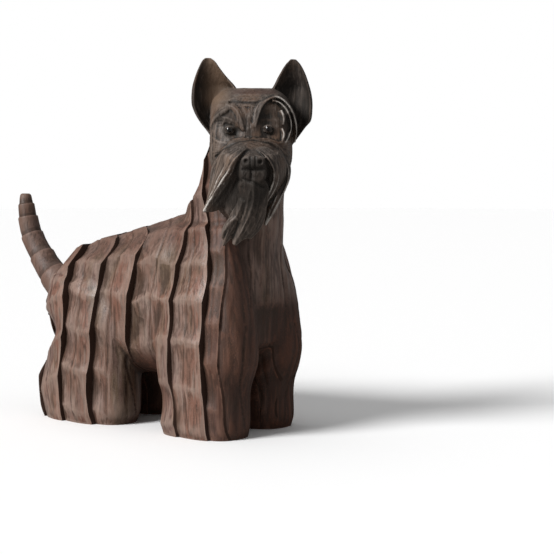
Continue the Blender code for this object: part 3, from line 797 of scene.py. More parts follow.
# Places along one section: share of the section, how many half steps wider than the tail
TAIL_SECTION = ((0.04, -1), (0.3, -0.55), (0.6, 0.05), (0.9, 0.8), (0.97, 0.85), (1, 0.4))
TAIL_CAP = ((0.08, -1), (0.5, -0.9), (0.8, -1.2), (0.93, -2.2), (1, -4.2))
TAIL_SIDES = 40
TAIL_ROW_STEPS = 8


def tail_line():
    rows = smooth_rows(TAIL, TAIL_ROW_STEPS)
    length = np.concatenate([[0], np.cumsum(np.linalg.norm(np.diff(rows[:, :2], axis=0), axis=1))])
    line = []
    start = 0
    for end in TAIL_ENDS:
        for share, swell in TAIL_CAP if end == TAIL_ENDS[-1] else TAIL_SECTION:
            at = (start + share * (end - start)) * length[-1]
            y, z, radius = (np.interp(at, length, rows[:, i]) for i in range(3))
            line.append((0, y, z, radius + swell * TAIL_STEP / 2))
        start = end
    return line


tail = swept("tail", [tail_line()], TAIL_SIDES)
print("the tail has", len(tail.data.polygons), "faces")

# %% [markdown]
# ## The head's blocks
#
# The head is turned to the dog's right, so it is drawn in a frame of its own and turned at
# the end: x to its left, then forward, then z up. A boxy skull, a square muzzle, the mass
# behind the whiskers and two ears like open bowls are lofts through rows, as the body is.

# %% Rows of the head
HEAD_AXIS_Y = -100
HEAD_TURN = math.radians(50)
# Rows up the skull: z, middle x, middle forward, half length, half width
SKULL = [
    (232, 0, 0, 26, 28),
    (246, 0, 2, 33, 35),
    (262, 0, 3, 37, 39),
    (282, 0, 2, 37, 38.5),
    (300, 0, 0, 36, 38.5),
    (314, 0, -3, 33, 37),
    (322, 0, -6, 27, 31),
    (327, 0, -8, 20, 22),
]
SKULL_SQUARENESS = 2.9
# Rows along the muzzle: forward, middle z, half width, half height
MUZZLE = [
    (10, 256, 36, 28),
    (36, 256, 29, 25),
    (52, 255, 21.5, 20),
    (66, 252.5, 15, 15.5),
    (77, 250.5, 12.5, 12.5),
    (82, 250, 11.3, 11),
]
MUZZLE_SQUARENESS = 2.8
MUZZLE_MIDDLE = 0.8
# The hair behind the locks, in rows like the skull's
WHISKERS = [
    (272, 0, 34, 14, 24),
    (262, 0, 42, 26, 31),
    (250, -0.5, 42, 27, 33.5),
    (238, -2, 40, 26, 33),
    (226, -6, 38, 25, 30),
    (214, -8, 36, 24, 24),
    (203, -6, 34, 24, 16),
    (194, -9, 36, 20, 12),
    (186, -13, 42, 12, 8),
]
WHISKER_SQUARENESS = 2.5

# %% The head's own frame and its blocks
def head_frame():
    turn = Matrix.Rotation(-HEAD_TURN, 4, "Z")
    return Matrix.Translation((0, HEAD_AXIS_Y * PART, 0)) @ turn


def placed(obj):
    """Moves a piece modelled in the head's frame, whose forward is -y, to its place."""
    obj.data.transform(head_frame())
    return obj


def upright_block(name, rows, squareness):
    rings = []
    for z, x, forward, half_length, half_width in smooth_rows(rows, ROW_STEPS):
        along, across = superellipse(half_length, half_width, squareness)
        rings.append([(x + b, -(forward + a), z) for a, b in zip(along, across)])
    return placed(loft(name, rings))


def muzzle():
    rings = []
    for forward, z, half_width, half_height in smooth_rows(MUZZLE, ROW_STEPS):
        across, up = superellipse(half_width, half_height, MUZZLE_SQUARENESS)
        rings.append([(a + MUZZLE_MIDDLE, -forward, z + b) for a, b in zip(across, up)])
    return placed(loft("muzzle", rings))


# %% Rows of the ears
# Seen from the front, from the root up: z, x of the outer edge, x of the inner edge
RIGHT_EAR = [
    (274, -34, -22),
    (285, -40.5, -18),
    (297, -50, -14),
    (309, -56, -11),
    (319, -57, -10),
    (329, -56, -14),
    (337, -53.8, -21.5),
    (346, -50.3, -28.5),
    (353, -47, -33.5),
    (356.5, -43, -38),
]
LEFT_EAR = [
    (272, 39, 28),
    (281, 46, 26),
    (290, 53, 24),
    (297, 58.3, 22),
    (309, 59.8, 19),
    (320, 59.2, 17),
    (332, 56.2, 23),
    (343, 52.4, 29),
    (351, 48, 34),
    (355.5, 43.5, 38.5),
]
EAR_BOWL = 14
EAR_WALL = 6.5
EAR_CLOSING = 26
EAR_THINNEST = 0.2
EAR_RIM = 0.88
EAR_LEAN = 0.1
EAR_MIDDLE = 300
EAR_POINTS = 28

# %% Bowls for the ears
def ear_bowl(rows, share, z):
    """The x and forward of the bowl's floor at shares across the ear, at height z."""
    heights = [row[0] for row in rows]
    outer, inner = (np.interp(z, heights, [row[i] for row in rows]) for i in (1, 2))
    arch = np.sqrt(np.clip(1 - share**2, 0, 1))
    bowl = EAR_BOWL * arch * np.clip((heights[-1] - z) / EAR_CLOSING, EAR_THINNEST, 1)
    return (outer + inner) / 2 + (outer - inner) / 2 * share, (EAR_MIDDLE - z) * EAR_LEAN - bowl


def ear(name, rows):
    """A bowl open to the front, whose outline follows the rows."""
    share = np.linspace(-1, 1, EAR_POINTS)
    rows = smooth_rows(rows, ROW_STEPS)
    rings = []
    for z in rows[:, 0]:
        x, forward = ear_bowl(rows, share, z)
        middle = (x[0] + x[-1]) / 2
        ring = [(a, -(f - EAR_WALL), z) for a, f in zip(x, forward)]
        ring += [(middle + (a - middle) * EAR_RIM, -f, z) for a, f in zip(x[::-1], forward[::-1])]
        rings.append(ring)
    return placed(loft(name, rings))


# %% Weld the head's blocks and press in the eye sockets
HEAD_VOXEL = 0.75
CORE_SMOOTHING = 8
# Hollows pressed into the face: places of x, forward and z, with a radius and a depth
HOLLOWS = [
    ([(-30, 34, 294), (-25, 36, 292), (-20, 38, 289), (-15, 39, 286)], 6.2, 4.2),
    ([(16, 38, 299), (16, 38, 294), (16, 38, 288)], 8.5, 4.5),
    ([(-1, 40, 296)], 3.7, 2),
]


def pressed(obj, hollows):
    """Presses hollows into the face along the way it looks; each has places, a radius and a depth."""
    inverse = np.array(head_frame().inverted())
    points = vertex_values(obj.data, "co")
    local = (points @ inverse[:3, :3].T + inverse[:3, 3]) / PART * (1, -1, 1)
    depth = np.zeros(len(points))
    for places, radius, full in hollows:
        nearest = np.min([np.linalg.norm(local - place, axis=1) for place in places], axis=0)
        depth += full * np.exp(-((nearest / radius) ** 2))
    way_out = np.array(head_frame().to_3x3() @ Vector((0, -1, 0)))
    points -= way_out * depth[:, None] * PART
    obj.data.vertices.foreach_set("co", points.astype(np.float32).ravel())
    return obj


core = [
    upright_block("skull", SKULL, SKULL_SQUARENESS),
    muzzle(),
    upright_block("whiskers", WHISKERS, WHISKER_SQUARENESS),
    ear("right ear", RIGHT_EAR),
    ear("left ear", LEFT_EAR),
]
core = pressed(blended(joined("head", core), HEAD_VOXEL, CORE_SMOOTHING), HOLLOWS)
print("the head's blocks have", len(core.data.polygons), "faces")

# %% [markdown]
# ## The locks
#
# The moustache, cheeks, beard and brows are bold carved locks. Each is a blade: its ridge
# follows a row of places, its sides fall away to both sides, and broad flutes run along it.

# %% Rows of the locks
# x, forward, z, width on its right, width on its left, height
LOCKS = {
    "right_moustache": [
        (-3, 64, 270, 3, 3, 2),
        (-7.5, 70, 267.5, 9, 3, 7),
        (-12, 76, 263.5, 14, 4, 11),
        (-17, 77.5, 257.5, 17, 7, 12),
        (-21.5, 73, 249, 16, 11, 10.5),
        (-27.5, 68, 240, 13, 14, 10),
        (-36, 62, 226.5, 7, 15, 9),
        (-41.5, 59, 218, 3.5, 10, 6),
        (-45.5, 58, 212, 0.6, 2, 1.5),
    ],
    "right_cheek": [
        (-28, 50, 263, 3, 5, 1),
        (-31, 49, 256, 5, 7, 4),
        (-34, 47, 248, 6, 9, 5),
        (-37, 48, 236, 4, 8, 5.5),
        (-41, 51, 223, 2, 5, 4),
        (-44, 54, 214, 0.6, 2, 1.5),
    ],
    "left_moustache": [
        (3, 64, 270, 3, 3, 2),
        (7.5, 70, 267, 3, 9, 7),
        (11.5, 77, 263.5, 3.5, 13, 11),
        (16, 78.5, 258, 5, 14, 12),
        (19.3, 74, 250.5, 7, 14, 10.5),
        (19.6, 70, 242, 9, 14, 10),
        (17, 66, 233, 11, 12, 9),
        (12.5, 62, 223, 10, 9, 8),
        (7, 60, 215, 4, 4, 3),
    ],
    "left_cheek": [
        (29, 50, 262, 5, 3, 1),
        (32, 50, 256, 8, 4, 4),
        (34, 48, 249, 12, 5, 6.5),
        (33, 51, 238, 12, 4, 8),
        (27, 54, 225, 9, 4, 8),
        (20, 56, 212, 6, 4, 6),
        (12.5, 57, 199, 0.8, 1.5, 1.5),
    ],
    "beard_right": [
        (-9, 72, 222, 4, 4, 2),
        (-14, 67, 210, 6, 6, 5),
        (-20, 62, 198, 6, 6, 5),
        (-25, 58, 186, 3, 3, 3),
        (-27, 56, 180, 0.8, 0.8, 1),
    ],
    "beard_middle": [
        (1.5, 82, 245, 8, 9, 2),
        (1.5, 83, 239, 11, 12, 5),
        (1.5, 80.5, 231, 13, 14, 9),
        (0.5, 75, 220, 14, 14, 9),
        (-3.5, 69, 207, 14, 12, 8),
        (-9, 64, 196, 12, 10, 7),
        (-14, 60, 187, 7, 5, 4),
        (-17, 58, 181, 2, 2, 1.5),
    ],
    "beard_left": [
        (10, 71, 222, 4, 4, 2),
        (8, 67, 210, 6, 6, 4),
        (3, 63, 198, 6, 6, 5),
        (-4, 58, 187, 3, 3, 3),
    ],
    "beard_curl": [
        (-15, 67, 207, 3, 3, 2),
        (-21, 64, 201, 4, 3, 3.5),
        (-26, 61, 194, 3, 2, 3),
        (-28, 58, 187, 1, 1, 1),
    ],
}
BROWS = {
    "right_brow": [
        (-25, 31, 309, 4, 2, 1.5),
        (-18, 34, 308.5, 7, 2.5, 2.5),
        (-12.5, 37, 302.5, 8, 2.5, 3),
        (-9.5, 38.5, 295, 6, 2, 2.5),
        (-7.5, 39.5, 287, 1.5, 1, 1.2),
    ],
    "left_brow": [
        (4, 38.2, 290, 2, 0.8, 0.8),
        (6, 37.5, 298, 3.5, 1.2, 1.6),
        (9, 35.5, 307, 4, 1.5, 2.2),
        (14.5, 32.5, 314.5, 3, 2.2, 3),
        (23, 30, 318, 2, 3, 3.6),
        (31, 28, 314.5, 2, 3, 5),
        (38, 24.5, 306, 2, 3, 5),
        (42, 20, 295, 2, 2.5, 4),
        (43, 17, 284, 2, 2, 3.5),
        (41.5, 15, 275, 1.2, 1.5, 2),
    ],
    "left_brow_tuft": [
        (28, 33, 306, 2, 2, 2),
        (30.5, 33.5, 299, 2.5, 3, 4),
        (30, 33, 292, 1.2, 1.5, 1.5),
    ],
    "left_brow_inner": [
        (20, 32, 314.5, 1.2, 1.2, 2.5),
        (27, 30.5, 312.5, 1.6, 1.6, 4),
        (33.5, 28, 306, 1.8, 1.8, 4.5),
        (37, 26, 297, 1.8, 1.8, 4.5),
        (37.5, 24.5, 288, 1.6, 1.6, 4),
        (34.5, 29, 280, 1.3, 1.3, 3),
        (31, 32, 274, 0.8, 0.8, 1),
    ],
    "left_lower_tuft": [
        (29, 33.5, 289, 1.4, 1.4, 1.5),
        (30.5, 34, 283, 1.8, 2.2, 3),
        (29, 34.5, 276, 1, 1, 1.5),
    ],
    "right_brow_tuft": [
        (-19, 32, 307.5, 2, 2, 1.5),
        (-25, 33.5, 305, 4, 5, 3),
        (-31, 29.5, 301, 4, 5, 3.5),
        (-36, 24.5, 295.5, 3, 4, 4),
        (-39, 19, 289, 1, 1, 1.5),
    ],
}
LOCK_BACK = 3
BROW_BACK = 5
LOCK_POINTS = 33
LOCK_STEPS = 8
THINNEST_LOCK = 0.4
LOCK_SIDEWAYS = 0.35
MIDDLE_BAND = 12
LOCK_DOWNWARD = 0.1
# Where a lock's width points less sideways than this, the lock runs level, and which side of
# it is its left is told by height
LEVEL_LOCK = 0.3
RIDGE_SHARPNESS = 1.35
FLUTES = 3
FLUTE_DEPTH = 0.06

# %% Blades along the rows
def lock_section(rows, i, tangent, share):
    """The front of a lock at row i, at shares across it, with the way out of the face."""
    point, (right, left, height) = rows[i, :3], rows[i, 3:]
    facing = np.array([LOCK_SIDEWAYS * np.clip(point[0] / MIDDLE_BAND, -1, 1), 1, -LOCK_DOWNWARD])
    outward = facing - tangent * facing.dot(tangent)
    outward /= np.linalg.norm(outward)
    across = np.cross(outward, tangent)
    if across[0] < 0 or (abs(across[0]) < LEVEL_LOCK and across[2] * point[0] < 0):
        across = -across
    offsets = np.where(share < 0, share * right, share * left)
    rise = -height * np.abs(share) ** RIDGE_SHARPNESS
    rise += FLUTE_DEPTH * height * np.cos(2 * math.pi * FLUTES * share) * (1 - np.abs(share))
    front = point + offsets[:, None] * across + rise[:, None] * outward
    return front, point + offsets[:, None] * across, outward, height


def lock_rows(rows):
    rows = smooth_rows(rows, LOCK_STEPS)
    rows[:, 3:] = np.maximum(rows[:, 3:], THINNEST_LOCK)
    tangents = np.gradient(rows[:, :3], axis=0)
    return rows, tangents / np.linalg.norm(tangents, axis=1)[:, None]


def lock(name, rows, back_depth):
    """A fluted blade whose ridge follows the rows, standing out from the face."""
    rows, tangents = lock_rows(rows)
    share = np.linspace(-1, 1, LOCK_POINTS)
    rings = []
    for i, tangent in enumerate(tangents):
        front, level, outward, height = lock_section(rows, i, tangent, share)
        depth = height + THINNEST_LOCK + back_depth * (1 - share**2)
        back = (level - depth[:, None] * outward)[::-1]
        rings.append([(x, -forward, z) for x, forward, z in [*front, *back]])
    return placed(loft(name, rings))


locks = [lock(name, rows, LOCK_BACK) for name, rows in LOCKS.items()]
locks += [lock(name, rows, BROW_BACK) for name, rows in BROWS.items()]
print(len(locks), "locks")

# %% [markdown]
# ## Strands on the locks
#
# Between the broad flutes the carver cut fine hairs. Each strand is a thin line that lies on
# its lock, wanders a little, and begins and ends at its own place, so no two look alike. A
# seeded random generator keeps the same hair on every run.

# %% Strands that run along each lock
STRAND_SPACING = 2.3
STRAND_RADIUS = 0.48
STRAND_WANDER = 0.1
WANDER_ROWS = 6
FEWEST_STRANDS = 4
# How far out on a lock the strands begin, and how far out they may wander
OUTERMOST = 0.93
LOCK_EDGE = 0.97
# Where strands begin and end, as shares of the rows, and how their thickness differs
STRAND_BEGINS = (0, 0.14)
STRAND_ENDS = (0.88, 1)
STRAND_THICKNESS = (0.75, 1.2)
PHASES = (0, 6)
# How fast strands thicken from their ends, and how thin the ends are
TAPER = 5
THINNEST_END = 0.15
strand_dice = np.random.default_rng(7)


def tapered(count, thickness):
    """Radii along a strand: thin ends, full for most of its length."""
    share = np.linspace(0, 1, count)
    return thickness * np.clip(np.minimum(share, 1 - share) * TAPER + THINNEST_END, 0, 1)


def lock_strands(rows):
    rows, tangents = lock_rows(rows)
    width = rows[:, 3:5].sum(axis=1).max()
    count = max(FEWEST_STRANDS, int(width / STRAND_SPACING))
    strands = []
    for at in np.linspace(-OUTERMOST, OUTERMOST, count):
        begin = int(strand_dice.uniform(*STRAND_BEGINS) * len(rows))
        end = int(strand_dice.uniform(*STRAND_ENDS) * len(rows))
        phase = strand_dice.uniform(*PHASES)
        places = []
        for i in range(begin, end):
            wander = STRAND_WANDER * math.sin(phase + i / WANDER_ROWS)
            share = np.clip(at + wander, -LOCK_EDGE, LOCK_EDGE)
            front, *_ = lock_section(rows, i, tangents[i], np.array([share]))
            places.append(front[0])
        thickness = STRAND_RADIUS * strand_dice.uniform(*STRAND_THICKNESS)
        strands.append(np.column_stack([places, tapered(len(places), thickness)]))
    return strands


strands = [strand for rows in [*LOCKS.values(), *BROWS.values()] for strand in lock_strands(rows)]
print(len(strands), "strands on the locks")

# %% Bold strands along the crests
# Locks whose crest is edged: where each strand lies across the lock, and its radius
CREST_STRANDS = {
    "right_moustache": ((-0.04, 0.75), (0.14, 0.65), (-0.4, 0.6)),
    "left_moustache": ((0.0, 0.75), (0.42, 0.6)),
    "left_cheek": ((0.0, 0.7), (0.45, 0.65), (-0.4, 0.65)),
    "right_cheek": ((0.3, 0.5),),
    "left_brow": ((0.0, 0.65),),
    "left_brow_inner": ((0.0, 0.6),),
    "left_brow_tuft": ((0.0, 0.6),),
    "left_lower_tuft": ((0.0, 0.6),),
}


def crest_strand(rows, share, thickness):
    rows, tangents = lock_rows(rows)
    places = [lock_section(rows, i, tangents[i], np.array([share]))[0][0] for i in range(len(rows))]
    return np.column_stack([places, tapered(len(places), thickness)])


ALL_LOCKS = {**LOCKS, **BROWS}
bold = []
for name, crests in CREST_STRANDS.items():
    bold += [crest_strand(ALL_LOCKS[name], *crest) for crest in crests]
print(len(bold), "bold strands")

# %% [markdown]
# ## Hair combed over the head
#
# On the skull, the bridge of the nose and the cheeks the hair lies flat. It is combed from
# one guide line to another: lines between the two guides, dropped onto the blocks with a
# nearest-point search, so they follow the form whatever its shape.

# %% Comb lines between guides
def surface_of(obj):
    """The object's surface, ready for quick searches."""
    corners = [vertex.co[:] for vertex in obj.data.vertices]
    return BVHTree.FromPolygons(corners, [face.vertices[:] for face in obj.data.polygons])


core_surface = surface_of(core)
GUIDE_STEPS = 6


def evenly(points, count):
    """The same line with count evenly spaced points."""
    points = smooth_rows(points, GUIDE_STEPS)
    length = np.concatenate([[0], np.cumsum(np.linalg.norm(np.diff(points, axis=0), axis=1))])
    at = np.linspace(0, length[-1], count)
    return np.column_stack([np.interp(at, length, points[:, i]) for i in range(3)])


def on_head(points, lift=0.0):
    """The nearest places on the head's blocks, in the head's own frame, lifted off them a little."""
    way, back = head_frame(), head_frame().inverted()
    dropped = []
    for x, forward, z in points:
        near, normal, *_ = core_surface.find_nearest(way @ (Vector((x, -forward, z)) * PART))
        place = back @ (near + normal * lift * PART) / PART
        dropped.append((place.x, -place.y, place.z))
    return np.array(dropped)


# %% Strands between two guides
COMB_WAVE = 0.6
# Where a strand lies in its share between the guides, how far its wave turns, where it begins
# and ends as shares of the guides, and how its thickness differs
COMB_PLACES = (0.2, 0.8)
COMB_TURNS = (4, 8)
COMB_BEGINS = (0, 0.2)
COMB_ENDS = (0.8, 1)
COMB_THICKNESS = (0.7, 1.2)


def combed(first, last, count, thickness, points, lift):
    """Strands between two guide lines, laid on the head."""
    first, last = evenly(first, points), evenly(last, points)
    found = []
    for number in range(count):
        share = np.clip((number + strand_dice.uniform(*COMB_PLACES)) / count, 0, 1)
        turn = np.linspace(0, strand_dice.uniform(*COMB_TURNS), points)
        wave = COMB_WAVE * np.sin(turn + strand_dice.uniform(*PHASES))
        line = first * (1 - share) + last * share
        line[:, 0] += wave
        begin = int(strand_dice.uniform(*COMB_BEGINS) * points)
        end = int(strand_dice.uniform(*COMB_ENDS) * points)
        line = on_head(line[begin:end], lift)
        radii = tapered(len(line), thickness * strand_dice.uniform(*COMB_THICKNESS))
        found.append(np.column_stack([line, radii]))
    return found


# %% Guides on the forehead, cheeks and muzzle
FOREHEAD = (
    [(-33, 22, 313), (-20, 30, 321), (0, 30, 323), (20, 28, 323), (32, 20, 321)],
    [(-36, 26, 296), (-26, 36, 306), (-8, 38, 310), (4, 38, 309), (12, 37, 315)],
)
CROWN = (
    [(-24, 0, 327), (-10, 6, 327), (6, 6, 327), (22, 0, 327)],
    [(-26, -24, 325), (-10, -30, 325), (8, -30, 325), (26, -24, 325)],
)
UNDER_RIGHT_EYE = (
    [(-37, 20, 283), (-30, 29, 278), (-22, 33, 276), (-12, 38, 279), (-5, 40, 284)],
    [(-37, 24, 262), (-31, 30, 264), (-25, 40, 267), (-14, 46, 272), (-6, 50, 275)],
)
UNDER_LEFT_EYE = (
    [(36, 20, 281), (28, 32, 277), (20, 35, 276), (11, 38, 279), (5, 40, 284)],
    [(37, 22, 260), (32, 30, 263), (26, 36, 267), (14, 46, 272), (6, 50, 275)],
)
RIGHT_CORNER = (
    [(-31, 28, 298), (-33, 28, 284), (-33, 29, 270), (-32, 30, 258)],
    [(-38, 8, 300), (-39, 12, 284), (-39, 14, 268), (-38, 16, 250)],
)
BETWEEN_BROWS = (
    [(-7, 38, 310), (-5, 38, 300), (-5, 39, 290), (-12, 38, 282)],
    [(3, 37, 309), (2, 38, 300), (3, 39, 290), (8, 39, 282)],
)
UNDER_NOSE = (
    [(-9, 84, 250), (-10, 84, 247), (-12, 83, 243)],
    [(11, 84, 250), (12, 84, 247), (14, 83, 243)],
)
OVER_RIGHT_EYE = (
    [(-35, 26, 300), (-28, 34, 299), (-20, 38, 297), (-14, 39, 292)],
    [(-35, 26, 292), (-29, 34, 293), (-23, 38, 293), (-16, 39, 290)],
)
RIGHT_SIDE = (
    [(-37, 22, 288), (-39, 20, 268), (-38, 20, 250), (-34, 22, 230)],
    [(-38, -24, 290), (-40, -26, 266), (-37, -24, 248), (-28, -18, 228)],
)
LEFT_SIDE = (
    [(37, 22, 284), (39, 20, 268), (38, 20, 250), (32, 22, 230)],
    [(38, -24, 290), (40, -26, 266), (37, -24, 248), (28, -18, 228)],
)
MUZZLE_RIGHT = (
    [(-2, 58, 274), (-12, 54, 272.5), (-21, 50, 268), (-29, 40, 260)],
    [(-3, 66, 268), (-10, 62, 266), (-20, 61, 261), (-28, 58, 253)],
)
MUZZLE_LEFT = (
    [(2, 58, 274), (12, 55, 272), (21, 50, 267), (29, 40, 259)],
    [(3, 66, 268), (10, 62, 266), (20, 61, 261), (28, 58, 253)],
)

# %% Comb the hair
# Guide lines, with how many strands lie between them, how thick, of how many points, how lifted
COMBINGS = [
    (MUZZLE_RIGHT, 7, 0.5, 22, 0),
    (MUZZLE_LEFT, 7, 0.5, 22, 0),
    (FOREHEAD, 5, 0.55, 22, 0),
    (CROWN, 7, 0.5, 22, 0),
    (UNDER_RIGHT_EYE, 8, 0.7, 22, 0.4),
    (UNDER_LEFT_EYE, 8, 0.7, 22, 0.4),
    (RIGHT_CORNER, 6, 0.75, 22, 0.4),
    (BETWEEN_BROWS, 5, 0.55, 22, 0),
    (UNDER_NOSE, 9, 0.6, 10, 0.2),
    (OVER_RIGHT_EYE, 5, 0.6, 22, 0.3),
    (RIGHT_SIDE, 10, 0.7, 22, 0),
    (LEFT_SIDE, 10, 0.7, 22, 0),
]
for guides, *numbers in COMBINGS:
    strands += combed(*guides, *numbers)
print(len(COMBINGS), "patches of combed hair")

# %% Hairs that arch over the bridge of the nose
BRIDGE_FORWARD = (48.5, 51, 53.5, 56)
BRIDGE_TOP = 283
BRIDGE_DROOP = 0.02
BRIDGE_WAVER = (1.3, 2.7)
BRIDGE_RADIUS = 0.6
for forward in BRIDGE_FORWARD:
    arc = []
    for x in range(-22, 24, 2):
        wavering = forward + BRIDGE_WAVER[0] * math.sin(x / BRIDGE_WAVER[1] + forward)
        arc.append((x, wavering, BRIDGE_TOP - BRIDGE_DROOP * x * x))
    line = on_head(arc)
    strands.append(np.column_stack([line, tapered(len(line), BRIDGE_RADIUS)]))

strands += bold
print(len(strands), "strands in all")

# %% [markdown]
# ## Eyes, nose and mouth
#
# The eyes are small and set deep, each between two heavy lids, and the nose is a rounded
# block with two nostrils. The lids are swept lines too. The mouth and the line under the
# nose are carved in after everything is welded.

# %% Rounded masses
# x, forward, z, half width, half depth, half height
NOSE = (0.8, 80, 257.8, 11.2, 5.2, 5.8)
CHIN = (1, 60, 236, 15, 19, 12)
BALL_SQUARENESS = 2.8
# The eyes' middles as x, forward and z
EYES = [(-20.8, 34.8, 287), (15.6, 34.8, 288)]
EYE_RADIUS = 3.9


def ball(name, x, forward, z, half_width, half_depth, half_height, squareness=2.0):
    """A rounded mass of the face, such as an eye, or a squarer one, such as the nose."""
    shape = bmesh.new()
    bmesh.ops.create_uvsphere(shape, u_segments=32, v_segments=20, radius=PART)
    for vert in shape.verts:
        vert.co /= sum(abs(c / PART) ** squareness for c in vert.co) ** (1 / squareness)
    bmesh.ops.scale(shape, vec=(half_width, half_depth, half_height), verts=shape.verts)
    bmesh.ops.translate(shape, vec=Vector((x, -forward, z)) * PART, verts=shape.verts)
    mesh = bpy.data.meshes.new(name)
    shape.to_mesh(mesh)
    shape.free()
    return placed(new_object(name, mesh))


# %% Eyelids
LID_REACH = 5.0
LID_TURN = (math.radians(4), math.radians(176))
LID_POINTS = 15
LID_FORWARD = (0.4, 2.1)
# How far the middle of each lid rises over the eye or drops under it, and its radius
LIDS = ((3.9, 0.55), (-3.4, 0.4))


def eyelid(x, forward, z, drop, thickness):
    """An arc over the eye, or under it where drop is negative."""
    turn = np.linspace(*LID_TURN, LID_POINTS)
    line = np.column_stack([
        x + LID_REACH * np.cos(turn),
        forward + LID_FORWARD[0] + LID_FORWARD[1] * np.sin(turn),
        z + drop * np.sin(turn),
    ])
    return np.column_stack([line, tapered(len(line), thickness)])


strands += [eyelid(*eye, *lid) for eye in EYES for lid in LIDS]
masses = [ball("nose", *NOSE, BALL_SQUARENESS), ball("chin", *CHIN)]
masses += [ball("eye", *eye, *[EYE_RADIUS] * 3) for eye in EYES]

# %% Creases and nostrils
# Creases as seen from the front: places of x and z, how wide and how deep
MOUTH = [(-9, 242.5), (-4, 240.5), (1, 239), (6, 236.5), (10, 235)]
CREASES = [
    (MOUTH, 1.3, 1.8),
    ([(-0.8, 250), (-1, 246), (-0.8, 241)], 1.2, 1.5),
    ([(-1.8, 262.5), (-1.7, 257), (-1.6, 252)], 0.8, 1.0),
    ([(2.7, 262.5), (2.7, 257), (2.6, 252)], 0.8, 1.0),
    ([(-9, 251), (-3, 250.5), (5, 250.5), (11, 251)], 0.9, 1.0),
    ([(-33, 262.5), (-26, 269), (-18, 274), (-7, 277), (2, 277.5)], 1.2, 1.1),
    ([(4, 277.5), (12, 276), (20, 272.5), (28, 266), (34, 257), (36, 246)], 1.9, 1.8),
    ([(-29, 313), (-15, 313.5), (0, 312.5), (6, 313), (13, 317), (20, 319.5)], 1.2, 0.7),
]
NOSTRILS = ((-5.8, 258.6), (7.2, 257.8))
NOSTRIL = (1.8, 3.2)
CREASE_STEPS = 24
BEFORE_FACE = 150
HEAD_SMOOTHING = 1
STRAND_SIDES = 6
HEAD_TRIANGLES = 92000

# %% Weld the head and carve it
def turned(strand):
    """A line of the head's own frame, turned to its place for sweeping."""
    way = np.array(head_frame())
    places = strand[:, :3] * (1, -1, 1) @ way[:3, :3].T + way[:3, 3] / PART
    return np.column_stack([places, strand[:, 3]])


def dropped_on(surface, places):
    """Where lines drawn from the front as x and z meet the face."""
    way = head_frame()
    inwards = way.to_3x3() @ Vector((0, 1, 0))
    found = []
    for x, z in places:
        hit, *_ = surface.ray_cast(way @ (Vector((x, -BEFORE_FACE, z)) * PART), inwards)
        if hit:
            near = way.inverted() @ hit / PART
            found.append((near.x, -near.y, near.z))
    return np.array(found)


hair = swept("hair", [turned(strand) for strand in strands], STRAND_SIDES)
head = blended(joined("head", [core, *locks, *masses, hair]), HEAD_VOXEL, HEAD_SMOOTHING)
face = surface_of(head)
lines = [(dropped_on(face, smooth_rows(places, CREASE_STEPS)), *cut) for places, *cut in CREASES]
nostrils = (dropped_on(face, NOSTRILS), *NOSTRIL)
reduced(pressed(head, [*lines, nostrils]), HEAD_TRIANGLES)
print("the carved head has", len(head.data.polygons), "faces")

# %% [markdown]
# ## One casting
#
# The real piece comes out of its mould whole. An exact Boolean union joins head, tail and
# body where they meet and keeps every carved edge, which one coarse remesh of the whole
# would blur. First each part notes what it is, because the stain differs on each.

# %% The notes that each part carries
def noted_points(obj, hair, shade=0.0):
    """A part's points, with a row of notes for each: its mesh's own, and how much hair it is."""
    notes = np.zeros((len(obj.data.vertices), len(NOTES) + 1))
    notes[:, NOTES.index("shade")] = shade
    for column, name in enumerate(NOTES):
        if name in obj.data.attributes:
            values = np.empty(len(notes), np.float32)
            obj.data.attributes[name].data.foreach_get("value", values)
            notes[:, column] = values
    notes[:, -1] = hair
    return np.column_stack([vertex_values(obj.data, "co"), notes])


def notes_at(points, known):
    """For each point the notes of the nearest known point."""
    finder = KDTree(len(known))
    for index, row in enumerate(known):
        finder.insert(row[:3], index)
    finder.balance()
    return known[[finder.find(point)[1] for point in points], 3:]


# %% Keep the largest body
def connected(start):
    """The vertices that edges join to this one."""
    found, waiting = {start}, [start]
    while waiting:
        for edge in waiting.pop().link_edges:
            for vert in edge.verts:
                if vert not in found:
                    found.add(vert)
                    waiting.append(vert)
    return found


def without_crumbs(obj):
    """Keeps the largest connected body and drops slivers cut loose beside it."""
    shape = bmesh.new()
    shape.from_mesh(obj.data)
    left, bodies = set(shape.verts), []
    while left:
        bodies.append(connected(next(iter(left))))
        left -= bodies[-1]
    bodies.sort(key=len)
    for loose in bodies[:-1]:
        bmesh.ops.delete(shape, geom=list(loose), context="VERTS")
    shape.to_mesh(obj.data)
    shape.free()
    return obj


# %% Unite the figure
def united(obj, others):
    for other in others:
        union = obj.modifiers.new("Unite", "BOOLEAN")
        union.operation = "UNION"
        union.solver = "EXACT"
        union.object = other
    applied(obj)
    for other in others:
        bpy.data.objects.remove(other)
    return without_crumbs(obj)


TAIL_HAIR = 0.04
TAIL_SHADE = 0.6
known = np.vstack([noted_points(body, 0), noted_points(head, 1), noted_points(tail, TAIL_HAIR, TAIL_SHADE)])
figure = united(body, [tail, head])
figure_notes = notes_at(vertex_values(figure.data, "co"), known)
figure.name = figure.data.name = "carved_terrier"
corners = vertex_values(figure.data, "co")
low, high = corners.min(axis=0), corners.max(axis=0)
shift = Vector([
    (cad_low.x + cad_high.x - low[0] - high[0]) / 2,
    (cad_low.y + cad_high.y - low[1] - high[1]) / 2,
    cad_low.z - low[2],
])
figure.data.transform(Matrix.Translation(shift))
print("the figure has", len(figure.data.polygons), "faces")

# %% [markdown]
# ## A surface that isn't quite even
#
# A cast carving is never smooth: the resin keeps the small waves that the knife left. A
# second tree pushes the surface in and out along its normals by a noise that is stretched
# upwards, as wood grain is, and fades out at the flat soles.

